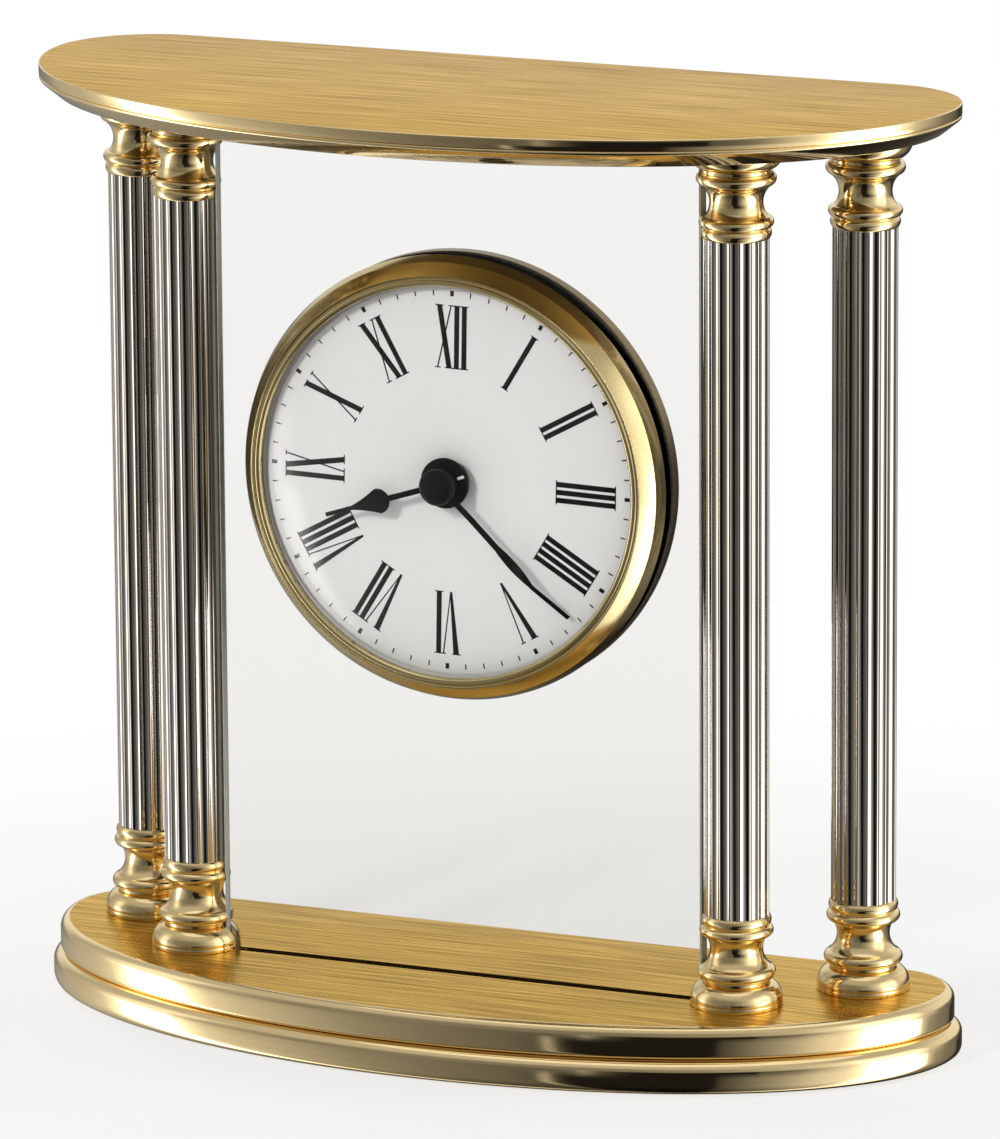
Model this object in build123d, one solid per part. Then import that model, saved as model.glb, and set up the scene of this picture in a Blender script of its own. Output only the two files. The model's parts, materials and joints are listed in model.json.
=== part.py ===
from build123d import *
import os
from math import cos, pi, radians, sin, sqrt

# Four-column table clock with a round alarm movement held in an upright glass panel.
# Millimetres, +Z up, the dial faces -Y. The origin is on the table, under the middle of the top plate,
# and the plane y = 0 runs through the middle of the glass and the axes of the front columns.

# Stack of the stand, from the table up
FELT_T = 1.2
FELT_PROUD = 0.5
LOWER_TIER_H = 5.8
UPPER_TIER_H = 5.6
TUBE_LEN = 116.6
TOP_LOWER_H = 3.2
TOP_UPPER_H = 1.9

# Plan of the deck: half an ellipse in front, a straight back with rounded corners
DECK_HALF_W = 80.7
DECK_BOW = 42.1
DECK_SHOULDER_Y = 17.4
DECK_CORNER_R = 11.7
DECK_EDGE_R = 1.6
LOWER_STEP = 1.3
LOWER_EDGE_R = 2.5
FELT_INSET = 7.0

# Plan of the top
TOP_OVERHANG = 1.8
TOP_BOW = 52.5
TOP_SHOULDER_Y = 17.6
TOP_CORNER_R = 17.3
TOP_EDGE_R = 0.3
TOP_REVEAL = 0.5
UNDERCUT_IN = 2.8
UNDERCUT_H = 2.6

# Places of the columns
BACK_COLUMN_INSET = 13.9
COLUMN_PAIR_GAP = 16.65
COLUMN_ROW_GAP = 16.7

# Turned column ends: heights stacked from the foot, then radii
FOOT_LIP_H = 0.8
FOOT_DOME_H = 3.25
GROOVE_H = 0.4
RING_H = 2.3
NECK_H = 5.25
COLLAR_RING_H = 1.9
COLLAR_H = 1.8
FOOT_R = 8.0
GROOVE_R = 5.8
RING_R = 6.7
NECK_R = 4.45
NECK_END_R = 5.45
COLLAR_RING_R = 6.3
COLLAR_R = 5.95
COLLAR_FILLET_IN = 0.35
SPIGOT_H = 3.0

# Fluted tubes
TUBE_R = 5.55
TUBE_BORE_R = 3.6
FLUTE_COUNT = 20
FLUTE_R = 0.78
FLUTE_OUT = 0.16

# Tie rods with a nut and washer under the base
ROD_R = 2.0
ROD_IN_TOP = 1.1
ROD_BELOW_NUT = 0.3
NUT_FLATS = 7.0
NUT_H = 2.2
WASHER_R = 4.5
WASHER_T = 0.6
NUT_ROOM = 0.4

# Glass panel
GLASS_T = 3.0
GLASS_EDGE_GAP = 0.3
DECK_SLOT_DEPTH = 3.6
TOP_SLOT_DEPTH = 2.0
CUSHION_T = 0.6

# Clearances
FIT = 0.1
RUNNING = 0.06
PRESS_GAP = 0.02
SLOT_CLEAR = 0.2
HOLE_CLEAR = 0.1

# Round insert: the case, its flange and the ring that clamps it to the glass
DIAL_UP = 87.6
CASE_R = 32.5
CASE_WALL = 1.3
CASE_REACH = 14.5
CASE_HOLE_CLEAR = 0.5
FLANGE_T = 1.4
FLANGE_INSET = 0.45
GASKET_T = 0.5
GASKET_INSET = 0.6
SEAT_W = 2.0
SEAT_H = 0.5
RING_OVERHANG = 0.3
RING_T = 3.0
RING_EDGE_R = 0.6
DIAL_T = 0.5

# Bezel: rise of each edge above the dial face, and the width of each band from the lens outwards
LIP_GAP = 0.3
LIP_W = 1.9
LIP_RISE = 2.7
LIP_OUTER_RISE = 3.1
FACET_W = 1.7
FACET_RISE = 1.1
RIM_W = 1.25
RIM_RISE = -0.65

# Domed lens
LENS_T = 1.4
LENS_FLANGE_W = 1.1
LENS_FLANGE_H = 1.9
LENS_DOME_R = 106.0
LENS_INNER_RISE = 8.0

# Movement housing
MOVEMENT_GAP = 2.2
MOVEMENT_WALL = 1.1
MOVEMENT_PLATE_T = 1.2
MOVEMENT_SPLIT = 5.7
MOVEMENT_DEPTH = 14.9
BUSH_R = 3.2
BUSH_REACH = 1.6
DIAL_NUT_FLATS = 7.0
DIAL_NUT_H = 1.3
POST_PITCH_R = 24.5
POST_R = 2.2
SCREW_R = 1.0
SCREW_HEAD_R = 1.9
SCREW_HEAD_H = 0.8
SCREW_LEN = 6.0

# Motion work: tooth counts and the shared centre distance
CENTRE_DISTANCE = 12.5
CANNON_TEETH = 12
MINUTE_WHEEL_TEETH = 36
MINUTE_PINION_TEETH = 10
HOUR_WHEEL_TEETH = 40
ALARM_PINION_TEETH = 10
ALARM_WHEEL_TEETH = 40
ADDENDUM = 0.8
DEDENDUM = 1.1
TOOTH_SHARE = 0.38
WHEEL_T = 1.0
PINION_T = 1.5
WHEEL_GAP = 0.3
ARBOR_R = 0.8
TUBE_WALL = 0.6

# Hands and the alarm disc: heights above the dial face and lengths
ALARM_DISC_R = 4.33
ALARM_DISC_RISE = 1.9
ALARM_DISC_T = 0.6
HOUR_HAND_RISE = 3.0
MINUTE_HAND_RISE = 4.3
HAND_T = 0.4
HOUR_HAND_LEN = 23.3
MINUTE_HAND_LEN = 30.9
MINUTE_TIP_DROP = 2.1
MINUTE_BEND = 17.0
CAP_R = 3.1
CAP_H = 2.0
CAP_DOME = 0.4
HOUR_ANGLE = 251.9
MINUTE_ANGLE = 134.3

# Back of the insert
COVER_T = 1.5
COVER_SPIGOT_H = 2.0
COVER_SPIGOT_WALL = 1.0
KNOB_R = 5.0
KNOB_H = 4.0
KNOB_GAP = 0.4
KNOB_RIBS = 18
KNOB_RIB_R = 0.45
SWITCH_UP = 17.0
SWITCH_TRAVEL = 4.0
SWITCH_W = 3.0
SWITCH_STEM_H = 1.6
SWITCH_KNOB_H = 3.0
SWITCH_PROUD = 1.6
SWITCH_PAD_T = 0.8

# Battery and its door
CELL_R = 6.0
CELL_LEN = 30.2
CELL_DOWN = 16.5
CELL_GAP = 2.7
CELL_NUB_R = 2.0
CELL_NUB_LEN = 0.8
CONTACT_T = 0.4
CONTACT_W = 6.0
CRADLE_T = 2.0
CRADLE_OUT = 9.0
DOOR_MARGIN = 1.5
DOOR_T = 1.2
DOOR_LIP = 1.0
RAIL_W = 1.2
RAIL_GAP = 0.2
GRIP_COUNT = 4
GRIP_PITCH = 1.6
GRIP_DEPTH = 0.35

# Electrics
BOARD_W = 28.0
BOARD_H = 12.0
BOARD_T = 0.8
BOARD_UP = 13.0
COIL_R = 2.9
COIL_LEN = 14.0
COIL_UP = 15.5
COIL_CORE_R = 1.0
STATOR_W = 18.0
STATOR_H = 8.0
STATOR_T = 0.8
BUZZER_R = 5.0
BUZZER_H = 2.4
BUZZER_X = -21.5
BUZZER_UP = 1.0
CARTRIDGE_R = 6.0
CARTRIDGE_H = 4.0
BOARD_POST_R = 1.4

# Heights worked out from the stack
COLUMN_END_H = FOOT_LIP_H + FOOT_DOME_H + GROOVE_H + RING_H + NECK_H + COLLAR_RING_H + COLLAR_H
LOWER_Z = FELT_PROUD
UPPER_Z = LOWER_Z + LOWER_TIER_H
DECK_Z = UPPER_Z + UPPER_TIER_H
TUBE_Z = DECK_Z + COLUMN_END_H
SOFFIT_Z = TUBE_Z + TUBE_LEN + COLUMN_END_H
TOP_UPPER_Z = SOFFIT_Z + TOP_LOWER_H
DIAL_Z = DECK_Z + DIAL_UP

# Widths worked out from the deck
TOP_HALF_W = DECK_HALF_W + TOP_OVERHANG
BACK_HALF_PITCH = DECK_HALF_W - BACK_COLUMN_INSET
FRONT_HALF_PITCH = BACK_HALF_PITCH - COLUMN_PAIR_GAP

# Radii worked out from the case of the insert
CASE_BORE_R = CASE_R - CASE_WALL
MOVEMENT_R = CASE_BORE_R - MOVEMENT_GAP
SEAT_R = CASE_R + SEAT_W
LENS_R = SEAT_R - LENS_FLANGE_W
LIP_R = LENS_R + LIP_GAP
LIP_OUTER_R = LIP_R + LIP_W
FACET_R = LIP_OUTER_R + FACET_W
RIM_R = FACET_R + RIM_W
FLANGE_R = RIM_R - FLANGE_INSET
RING_OUTER_R = FLANGE_R + RING_OVERHANG

# Depths worked out from the glass, front to back
GLASS_FRONT = -GLASS_T / 2
GLASS_BACK = GLASS_T / 2
FLANGE_BACK = GLASS_FRONT - GASKET_T
FLANGE_FRONT = FLANGE_BACK - FLANGE_T
DIAL_BACK = FLANGE_FRONT - SEAT_H
DIAL_FACE = DIAL_BACK - DIAL_T
RING_FRONT = GLASS_BACK + GASKET_T
COVER_FRONT = CASE_REACH
COVER_BACK = COVER_FRONT + COVER_T
PLATE_BACK = DIAL_BACK + MOVEMENT_PLATE_T
SPLIT_Y = PLATE_BACK + MOVEMENT_SPLIT
REAR_PLATE_FRONT = DIAL_BACK + MOVEMENT_DEPTH - MOVEMENT_PLATE_T
REAR_PLATE_BACK = DIAL_BACK + MOVEMENT_DEPTH

# Levels of the wheels behind the dial
ALARM_WHEEL_Y = PLATE_BACK + WHEEL_GAP
HOUR_WHEEL_Y = ALARM_WHEEL_Y + WHEEL_T + WHEEL_GAP
CANNON_Y = HOUR_WHEEL_Y + WHEEL_T + WHEEL_GAP
CARTRIDGE_Y = CANNON_Y + PINION_T + WHEEL_GAP
HOUR_TUBE_BORE_R = ARBOR_R + RUNNING
HOUR_TUBE_R = HOUR_TUBE_BORE_R + TUBE_WALL
ALARM_TUBE_BORE_R = HOUR_TUBE_R + RUNNING
ALARM_TUBE_R = ALARM_TUBE_BORE_R + TUBE_WALL
MINUTE_WHEEL_X = CENTRE_DISTANCE
ALARM_PINION_X = -CENTRE_DISTANCE
MINUTE_WHEEL_MODULE = 2 * CENTRE_DISTANCE / (CANNON_TEETH + MINUTE_WHEEL_TEETH)
HOUR_WHEEL_MODULE = 2 * CENTRE_DISTANCE / (MINUTE_PINION_TEETH + HOUR_WHEEL_TEETH)
ALARM_MODULE = 2 * CENTRE_DISTANCE / (ALARM_PINION_TEETH + ALARM_WHEEL_TEETH)

# Battery place
CELL_Z = DIAL_Z - CELL_DOWN
CELL_Y = PLATE_BACK + CELL_GAP + CELL_R
WINDOW_W = CELL_LEN + 2 * (CELL_NUB_LEN + CONTACT_T) + 2 * DOOR_MARGIN
WINDOW_H = 2 * CELL_R + DOOR_MARGIN

COLUMNS = {
    "front_left": (-FRONT_HALF_PITCH, 0.0),
    "front_right": (FRONT_HALF_PITCH, 0.0),
    "back_left": (-BACK_HALF_PITCH, COLUMN_ROW_GAP),
    "back_right": (BACK_HALF_PITCH, COLUMN_ROW_GAP),
}


# Shared shapes

def d_plan(half_w, bow, shoulder_y, corner_r, grow):
    """Plan face: half an ellipse in front, a straight back, rounded rear corners, all moved out by grow."""
    a = half_w + grow
    b = bow + grow
    r = corner_r + grow
    back_y = shoulder_y + r
    edges = [
        EllipticalCenterArc((0, shoulder_y), a, b, 180, arc_size=180),
        CenterArc((a - r, shoulder_y), r, 0, 90),
        Line((a - r, back_y), (r - a, back_y)),
        CenterArc((r - a, shoulder_y), r, 90, 90),
    ]
    return make_face(edges)


def deck_plan(grow):
    return d_plan(DECK_HALF_W, DECK_BOW, DECK_SHOULDER_Y, DECK_CORNER_R, grow)


def top_plan(grow):
    return d_plan(TOP_HALF_W, TOP_BOW, TOP_SHOULDER_Y, TOP_CORNER_R, grow)


def slab(face, z, height):
    """A flat plate on the given plan."""
    return Pos(0, 0, z) * extrude(face, height)


def rod_z(radius, x, y, z, height):
    """An upright cylinder standing on z."""
    return Pos(x, y, z + height / 2) * Cylinder(radius, height)


def rod_y(radius, x, z, y_from, y_to):
    """A cylinder along Y between two depths."""
    return Pos(x, (y_from + y_to) / 2, z) * Rot(90, 0, 0) * Cylinder(radius, abs(y_to - y_from))


def tube_y(radius, bore, x, z, y_from, y_to):
    """A tube along Y between two depths."""
    return rod_y(radius, x, z, y_from, y_to) - rod_y(bore, x, z, y_from, y_to)


def block(x0, x1, y0, y1, z0, z1):
    """A box between two corners."""
    return Pos((x0 + x1) / 2, (y0 + y1) / 2, (z0 + z1) / 2) * Box(abs(x1 - x0), abs(y1 - y0), abs(z1 - z0))


def turned_y(edges):
    """A solid turned about the dial's axis from a profile drawn as (radius, depth)."""
    return Pos(0, 0, DIAL_Z) * revolve(make_face(edges), Axis.Y)


def hexagon_z(flats, x, y, z, height):
    return Pos(x, y, z) * extrude(RegularPolygon(flats / 2, 6, major_radius=False), height)


def hexagon_y(flats, x, z, y_from, y_to):
    prism = extrude(RegularPolygon(flats / 2, 6, major_radius=False), abs(y_to - y_from))
    return Pos(x, max(y_from, y_to), z) * Rot(90, 0, 0) * prism


def gear(teeth, module, x, z, y, thickness, first_tooth):
    """A wheel with tapered teeth, one tooth centred on the angle first_tooth, measured from +X towards +Z."""
    pitch_r = teeth * module / 2
    tip_r = pitch_r + ADDENDUM * module
    root_r = pitch_r - DEDENDUM * module
    step = 2 * pi / teeth
    points = []
    for i in range(teeth):
        mid = radians(first_tooth) + i * step
        for radius, share in ((root_r, -1.25), (tip_r, -0.62), (tip_r, 0.62), (root_r, 1.25)):
            angle = mid + share * TOOTH_SHARE * step / 2
            points.append((x + radius * cos(angle), y, z + radius * sin(angle)))
    outline = make_face(Polyline(*points, close=True))
    return extrude(outline, thickness, dir=(0, 1, 0))


# Stand

def column_end(slot_side):
    """Turned column base standing on z = 0. slot_side is the X side that takes the glass, or 0 for none."""
    z1 = FOOT_LIP_H
    z2 = z1 + FOOT_DOME_H
    z3 = z2 + GROOVE_H
    z4 = z3 + RING_H
    z5 = z4 + NECK_H
    z6 = z5 + COLLAR_RING_H
    z7 = z6 + COLLAR_H
    bore = ROD_R + HOLE_CLEAR
    spigot_r = TUBE_BORE_R - FIT
    collar_in = COLLAR_R - COLLAR_FILLET_IN
    dome_mid = (GROOVE_R + 0.64 * (FOOT_R - GROOVE_R), z1 + 0.71 * FOOT_DOME_H)

    def p(r, z):
        return (r, 0, z)

    edges = [
        Line(p(bore, 0), p(FOOT_R, 0)),
        Line(p(FOOT_R, 0), p(FOOT_R, z1)),
        ThreePointArc(p(FOOT_R, z1), p(*dome_mid), p(GROOVE_R, z2)),
        Line(p(GROOVE_R, z2), p(GROOVE_R, z3)),
        ThreePointArc(p(GROOVE_R, z3), p(RING_R, (z3 + z4) / 2), p(GROOVE_R, z4)),
        Line(p(GROOVE_R, z4), p(NECK_END_R, z4)),
        ThreePointArc(p(NECK_END_R, z4), p(NECK_R, (z4 + z5) / 2), p(NECK_END_R, z5)),
        Line(p(NECK_END_R, z5), p(collar_in, z5)),
        ThreePointArc(p(collar_in, z5), p(COLLAR_RING_R, (z5 + z6) / 2), p(collar_in, z6)),
        ThreePointArc(p(collar_in, z6), p(COLLAR_R, (z6 + z7) / 2), p(collar_in, z7)),
        Line(p(collar_in, z7), p(spigot_r, z7)),
        Line(p(spigot_r, z7), p(spigot_r, z7 + SPIGOT_H)),
        Line(p(spigot_r, z7 + SPIGOT_H), p(bore, z7 + SPIGOT_H)),
        Line(p(bore, z7 + SPIGOT_H), p(bore, 0)),
    ]
    body = revolve(make_face(edges), Axis.Z)
    if slot_side == 0:
        return body
    half_slot = GLASS_T / 2 + SLOT_CLEAR
    inner = TUBE_R + GLASS_EDGE_GAP - SLOT_CLEAR
    return body - block(slot_side * inner, slot_side * 2 * FOOT_R, -half_slot, half_slot, -1, z7 + 1)


def glass_side(x, y):
    """Side of a column that the glass panel meets."""
    if y != 0:
        return 0
    return 1 if x < 0 else -1


def column_base(x, y):
    return Pos(x, y, DECK_Z) * column_end(glass_side(x, y))


def column_capital(x, y):
    return Pos(x, y, SOFFIT_Z) * Rot(180, 0, 0) * column_end(glass_side(x, y))


def column_tube(x, y):
    """Tube with concave flutes all round."""
    section = Circle(TUBE_R)
    for i in range(FLUTE_COUNT):
        angle = 2 * pi * i / FLUTE_COUNT
        reach = TUBE_R + FLUTE_OUT
        section -= Pos(reach * cos(angle), reach * sin(angle)) * Circle(FLUTE_R)
    section -= Circle(TUBE_BORE_R)
    return Pos(x, y, TUBE_Z) * extrude(section, TUBE_LEN)


def nut_recess_top():
    """Height of the roof of the nut recesses under the base."""
    return LOWER_Z + FELT_T - FELT_PROUD + NUT_ROOM + ROD_BELOW_NUT + NUT_H + WASHER_T


def tie_rod(x, y):
    bottom = nut_recess_top() - WASHER_T - NUT_H - ROD_BELOW_NUT
    top = TOP_UPPER_Z + ROD_IN_TOP
    return rod_z(ROD_R, x, y, bottom, top - bottom)


def tie_rod_washers():
    bore = ROD_R + HOLE_CLEAR
    z = nut_recess_top() - WASHER_T
    return Compound(children=[
        rod_z(WASHER_R, x, y, z, WASHER_T) - rod_z(bore, x, y, z, WASHER_T) for x, y in COLUMNS.values()
    ])


def tie_rod_nuts():
    z = nut_recess_top() - WASHER_T - NUT_H
    bore = ROD_R + PRESS_GAP
    return Compound(children=[
        hexagon_z(NUT_FLATS, x, y, z, NUT_H) - rod_z(bore, x, y, z, NUT_H) for x, y in COLUMNS.values()
    ])


def base_upper_plate():
    plate = slab(deck_plan(DECK_EDGE_R), UPPER_Z, UPPER_TIER_H)
    plate = fillet(plate.faces().sort_by(Axis.Z)[-1].edges(), DECK_EDGE_R)
    for x, y in COLUMNS.values():
        plate -= rod_z(ROD_R + HOLE_CLEAR, x, y, UPPER_Z, UPPER_TIER_H)
    half_x = glass_half_width() + SLOT_CLEAR
    half_y = GLASS_T / 2 + SLOT_CLEAR
    return plate - block(-half_x, half_x, -half_y, half_y, DECK_Z - DECK_SLOT_DEPTH, DECK_Z)


def base_lower_plate():
    plate = slab(deck_plan(DECK_EDGE_R + LOWER_STEP), LOWER_Z, LOWER_TIER_H)
    rims = plate.faces().sort_by(Axis.Z)
    plate = fillet(rims[0].edges() + rims[-1].edges(), LOWER_EDGE_R)
    for x, y in COLUMNS.values():
        plate -= rod_z(ROD_R + HOLE_CLEAR, x, y, LOWER_Z, LOWER_TIER_H)
        plate -= rod_z(WASHER_R + NUT_ROOM, x, y, LOWER_Z, nut_recess_top() - LOWER_Z)
    return plate - slab(deck_plan(SLOT_CLEAR - FELT_INSET), LOWER_Z, FELT_T - FELT_PROUD)


def felt_pad():
    return slab(deck_plan(-FELT_INSET), 0, FELT_T)


def top_lower_plate():
    """Undercut tier below the top, slotted for the glass."""
    plate = slab(top_plan(-TOP_REVEAL), SOFFIT_Z, TOP_LOWER_H)
    soffit = plate.faces().sort_by(Axis.Z)[0]
    plate = chamfer(soffit.edges(), UNDERCUT_IN, UNDERCUT_H, reference=soffit)
    for x, y in COLUMNS.values():
        plate -= rod_z(ROD_R + HOLE_CLEAR, x, y, SOFFIT_Z, TOP_LOWER_H)
    half_x = glass_half_width() + SLOT_CLEAR
    half_y = GLASS_T / 2 + SLOT_CLEAR
    return plate - block(-half_x, half_x, -half_y, half_y, SOFFIT_Z, SOFFIT_Z + TOP_SLOT_DEPTH)


def top_upper_plate():
    plate = slab(top_plan(0), TOP_UPPER_Z, TOP_UPPER_H)
    plate = fillet(plate.faces().sort_by(Axis.Z)[-1].edges(), TOP_EDGE_R)
    for x, y in COLUMNS.values():
        plate -= rod_z(ROD_R + PRESS_GAP, x, y, TOP_UPPER_Z, ROD_IN_TOP)
    return plate


def glass_half_width():
    return FRONT_HALF_PITCH - TUBE_R - GLASS_EDGE_GAP


def glass_panel():
    half = glass_half_width()
    low = DECK_Z - DECK_SLOT_DEPTH + CUSHION_T
    high = SOFFIT_Z + TOP_SLOT_DEPTH - CUSHION_T
    pane = block(-half, half, GLASS_FRONT, GLASS_BACK, low, high)
    return pane - rod_y(CASE_R + CASE_HOLE_CLEAR, 0, DIAL_Z, GLASS_FRONT - 1, GLASS_BACK + 1)


def panel_cushion(z):
    """Rubber strip on the floor of a glass slot."""
    half = glass_half_width()
    return block(-half, half, GLASS_FRONT, GLASS_BACK, z, z + CUSHION_T)


# Insert

def bezel():
    """Brass ring with a narrow inner lip and two sloping facets."""
    inner = SEAT_R + FIT
    lip_back = DIAL_FACE - LENS_FLANGE_H
    points = [
        (LIP_R, lip_back),
        (LIP_R, DIAL_FACE - LIP_RISE),
        (LIP_OUTER_R, DIAL_FACE - LIP_OUTER_RISE),
        (FACET_R, DIAL_FACE - FACET_RISE),
        (RIM_R, DIAL_FACE - RIM_RISE),
        (RIM_R, FLANGE_FRONT),
        (inner, FLANGE_FRONT),
        (inner, lip_back),
    ]
    return turned_y(Polyline(*points, close=True).edges())


def dome_drop(radius, dome_r):
    """Fall of a spherical dome from its top at a radius."""
    return dome_r - sqrt(dome_r ** 2 - radius ** 2)


def lens():
    """Domed crystal with a short upright wall and a flange under the lip."""
    outer_dome_r = LENS_DOME_R + LENS_T
    inner_top = DIAL_FACE - LENS_INNER_RISE
    outer_top = inner_top - LENS_T
    wall_in = LENS_R - LENS_T
    flange_r = SEAT_R
    lip_back = DIAL_FACE - LENS_FLANGE_H
    half = LENS_R / 2
    edges = [
        ThreePointArc(
            (0, outer_top),
            (half, outer_top + dome_drop(half, outer_dome_r)),
            (LENS_R, outer_top + dome_drop(LENS_R, outer_dome_r)),
        ),
        Line((LENS_R, outer_top + dome_drop(LENS_R, outer_dome_r)), (LENS_R, lip_back)),
        Line((LENS_R, lip_back), (flange_r, lip_back)),
        Line((flange_r, lip_back), (flange_r, DIAL_FACE)),
        Line((flange_r, DIAL_FACE), (wall_in, DIAL_FACE)),
        Line((wall_in, DIAL_FACE), (wall_in, inner_top + dome_drop(wall_in, LENS_DOME_R))),
        ThreePointArc(
            (wall_in, inner_top + dome_drop(wall_in, LENS_DOME_R)),
            (half, inner_top + dome_drop(half, LENS_DOME_R)),
            (0, inner_top),
        ),
        Line((0, inner_top), (0, outer_top)),
    ]
    return turned_y(edges)


def dial():
    return tube_y(SEAT_R, BUSH_R + HOLE_CLEAR, 0, DIAL_Z, DIAL_FACE, DIAL_BACK)


def insert_case():
    """Cup with a flange in front of the glass and a seat for the dial."""
    cup = rod_y(CASE_R, 0, DIAL_Z, FLANGE_FRONT, CASE_REACH)
    cup += rod_y(FLANGE_R, 0, DIAL_Z, FLANGE_FRONT, FLANGE_BACK)
    cup += rod_y(SEAT_R, 0, DIAL_Z, DIAL_BACK, FLANGE_BACK)
    return cup - rod_y(CASE_BORE_R, 0, DIAL_Z, DIAL_BACK - 1, CASE_REACH + 1)


def gasket(y_from):
    """Thin rubber ring between the glass and what clamps it."""
    return tube_y(FLANGE_R - GASKET_INSET, CASE_R + FIT, 0, DIAL_Z, y_from, y_from + GASKET_T)


def retaining_ring():
    ring = tube_y(RING_OUTER_R, CASE_R + FIT, 0, DIAL_Z, RING_FRONT, RING_FRONT + RING_T)
    rims = ring.edges().filter_by(GeomType.CIRCLE).sort_by(SortBy.RADIUS)[-2:]
    return fillet(rims, RING_EDGE_R)


def door_half_width():
    return WINDOW_W / 2 + DOOR_LIP


def switch_slot(y_from, y_to):
    """Room for the alarm switch to slide through a wall."""
    half_x = SWITCH_TRAVEL / 2 + SWITCH_W / 2 + SLOT_CLEAR
    half_z = SWITCH_STEM_H / 2 + SLOT_CLEAR
    z = DIAL_Z + SWITCH_UP
    return block(-half_x, half_x, y_from, y_to, z - half_z, z + half_z)


def back_cover():
    """Disc that closes the case, with holes for the knobs, the switch and the battery."""
    cover = rod_y(CASE_R, 0, DIAL_Z, COVER_FRONT, COVER_BACK)
    spigot_r = CASE_BORE_R - FIT
    spigot_in = spigot_r - COVER_SPIGOT_WALL
    cover += tube_y(spigot_r, spigot_in, 0, DIAL_Z, COVER_FRONT - COVER_SPIGOT_H, COVER_FRONT)
    for x in (MINUTE_WHEEL_X, ALARM_PINION_X):
        cover -= rod_y(ARBOR_R + HOLE_CLEAR, x, DIAL_Z, COVER_FRONT - 1, COVER_BACK + 1)
    cover -= switch_slot(COVER_FRONT - 1, COVER_BACK + 1)
    half_w = WINDOW_W / 2
    z0 = CELL_Z - WINDOW_H / 2
    z1 = CELL_Z + WINDOW_H / 2
    cover -= block(-half_w, half_w, COVER_FRONT - COVER_SPIGOT_H - 1, COVER_BACK + 1, z0, z1)
    lip_y = COVER_BACK + DOOR_T + 2 * RAIL_GAP
    for side in (-1, 1):
        inner = side * (door_half_width() + RAIL_GAP)
        outer = inner + side * RAIL_W
        lip = side * (door_half_width() - DOOR_LIP / 2)
        cover += block(inner, outer, COVER_BACK, lip_y + RAIL_W, z0, z1)
        cover += block(lip, outer, lip_y, lip_y + RAIL_W, z0, z1)
    stop_z = CELL_Z + WINDOW_H / 2 + DOOR_LIP + RAIL_GAP
    stop_half = CENTRE_DISTANCE - KNOB_R - KNOB_GAP
    return cover + block(-stop_half, stop_half, COVER_BACK, COVER_BACK + DOOR_T, stop_z, stop_z + RAIL_W)


def battery_door():
    """Sliding door over the battery window, with finger ribs."""
    half_w = door_half_width()
    y0 = COVER_BACK + RAIL_GAP
    y1 = y0 + DOOR_T
    z0 = CELL_Z - WINDOW_H / 2 - DOOR_LIP
    z1 = CELL_Z + WINDOW_H / 2 + DOOR_LIP
    door = block(-half_w, half_w, y0, y1, z0, z1)
    grip_w = half_w / 2
    grip_h = GRIP_PITCH / 4
    for i in range(GRIP_COUNT):
        z = CELL_Z + (i - (GRIP_COUNT - 1) / 2) * GRIP_PITCH
        door -= block(-grip_w, grip_w, y1 - GRIP_DEPTH, y1 + 1, z - grip_h, z + grip_h)
    return door


# Movement

def post_places():
    return [(POST_PITCH_R * cos(radians(a)), DIAL_Z + POST_PITCH_R * sin(radians(a))) for a in (90, 210, 330)]


def contact_x():
    return CELL_LEN / 2 + CELL_NUB_LEN + CONTACT_T


def movement_front_housing():
    """Front plate with its threaded bush, posts, battery cradle and rim."""
    shell = rod_y(MOVEMENT_R, 0, DIAL_Z, DIAL_BACK, SPLIT_Y)
    shell -= rod_y(MOVEMENT_R - MOVEMENT_WALL, 0, DIAL_Z, PLATE_BACK, SPLIT_Y + 1)
    shell += rod_y(BUSH_R, 0, DIAL_Z, DIAL_FACE - BUSH_REACH, DIAL_BACK)
    shell -= rod_y(ALARM_TUBE_R + RUNNING, 0, DIAL_Z, DIAL_FACE - BUSH_REACH - 1, PLATE_BACK + 1)
    for x in (MINUTE_WHEEL_X, ALARM_PINION_X):
        shell -= rod_y(ARBOR_R + RUNNING, x, DIAL_Z, DIAL_BACK, PLATE_BACK + 1)
    for x, z in post_places():
        shell += rod_y(POST_R, x, z, PLATE_BACK, REAR_PLATE_FRONT)
        shell -= rod_y(SCREW_R + PRESS_GAP, x, z, REAR_PLATE_BACK - SCREW_LEN, REAR_PLATE_FRONT + 1)
    z0 = CELL_Z - CELL_R / 2
    z1 = CELL_Z + CELL_R / 2
    for side in (-1, 1):
        cradle = side * CRADLE_OUT
        shell += block(cradle, cradle + side * CRADLE_T, PLATE_BACK, CELL_Y, z0, z1)
        stop = side * contact_x()
        shell += block(stop, stop + side * CRADLE_T / 2, PLATE_BACK, CELL_Y, z0, z1)
        post_x = side * (BOARD_W / 2 - BOARD_POST_R)
        post_z = DIAL_Z + BOARD_UP + BOARD_H / 2 - BOARD_POST_R
        shell += rod_y(BOARD_POST_R, post_x, post_z, PLATE_BACK, board_front())
    return shell - Pos(0, CELL_Y, CELL_Z) * Rot(0, 90, 0) * Cylinder(CELL_R + FIT, 2 * contact_x())


def coil_y():
    return PLATE_BACK + STATOR_T + FIT + COIL_R


def board_front():
    return coil_y() + COIL_R + FIT


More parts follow.
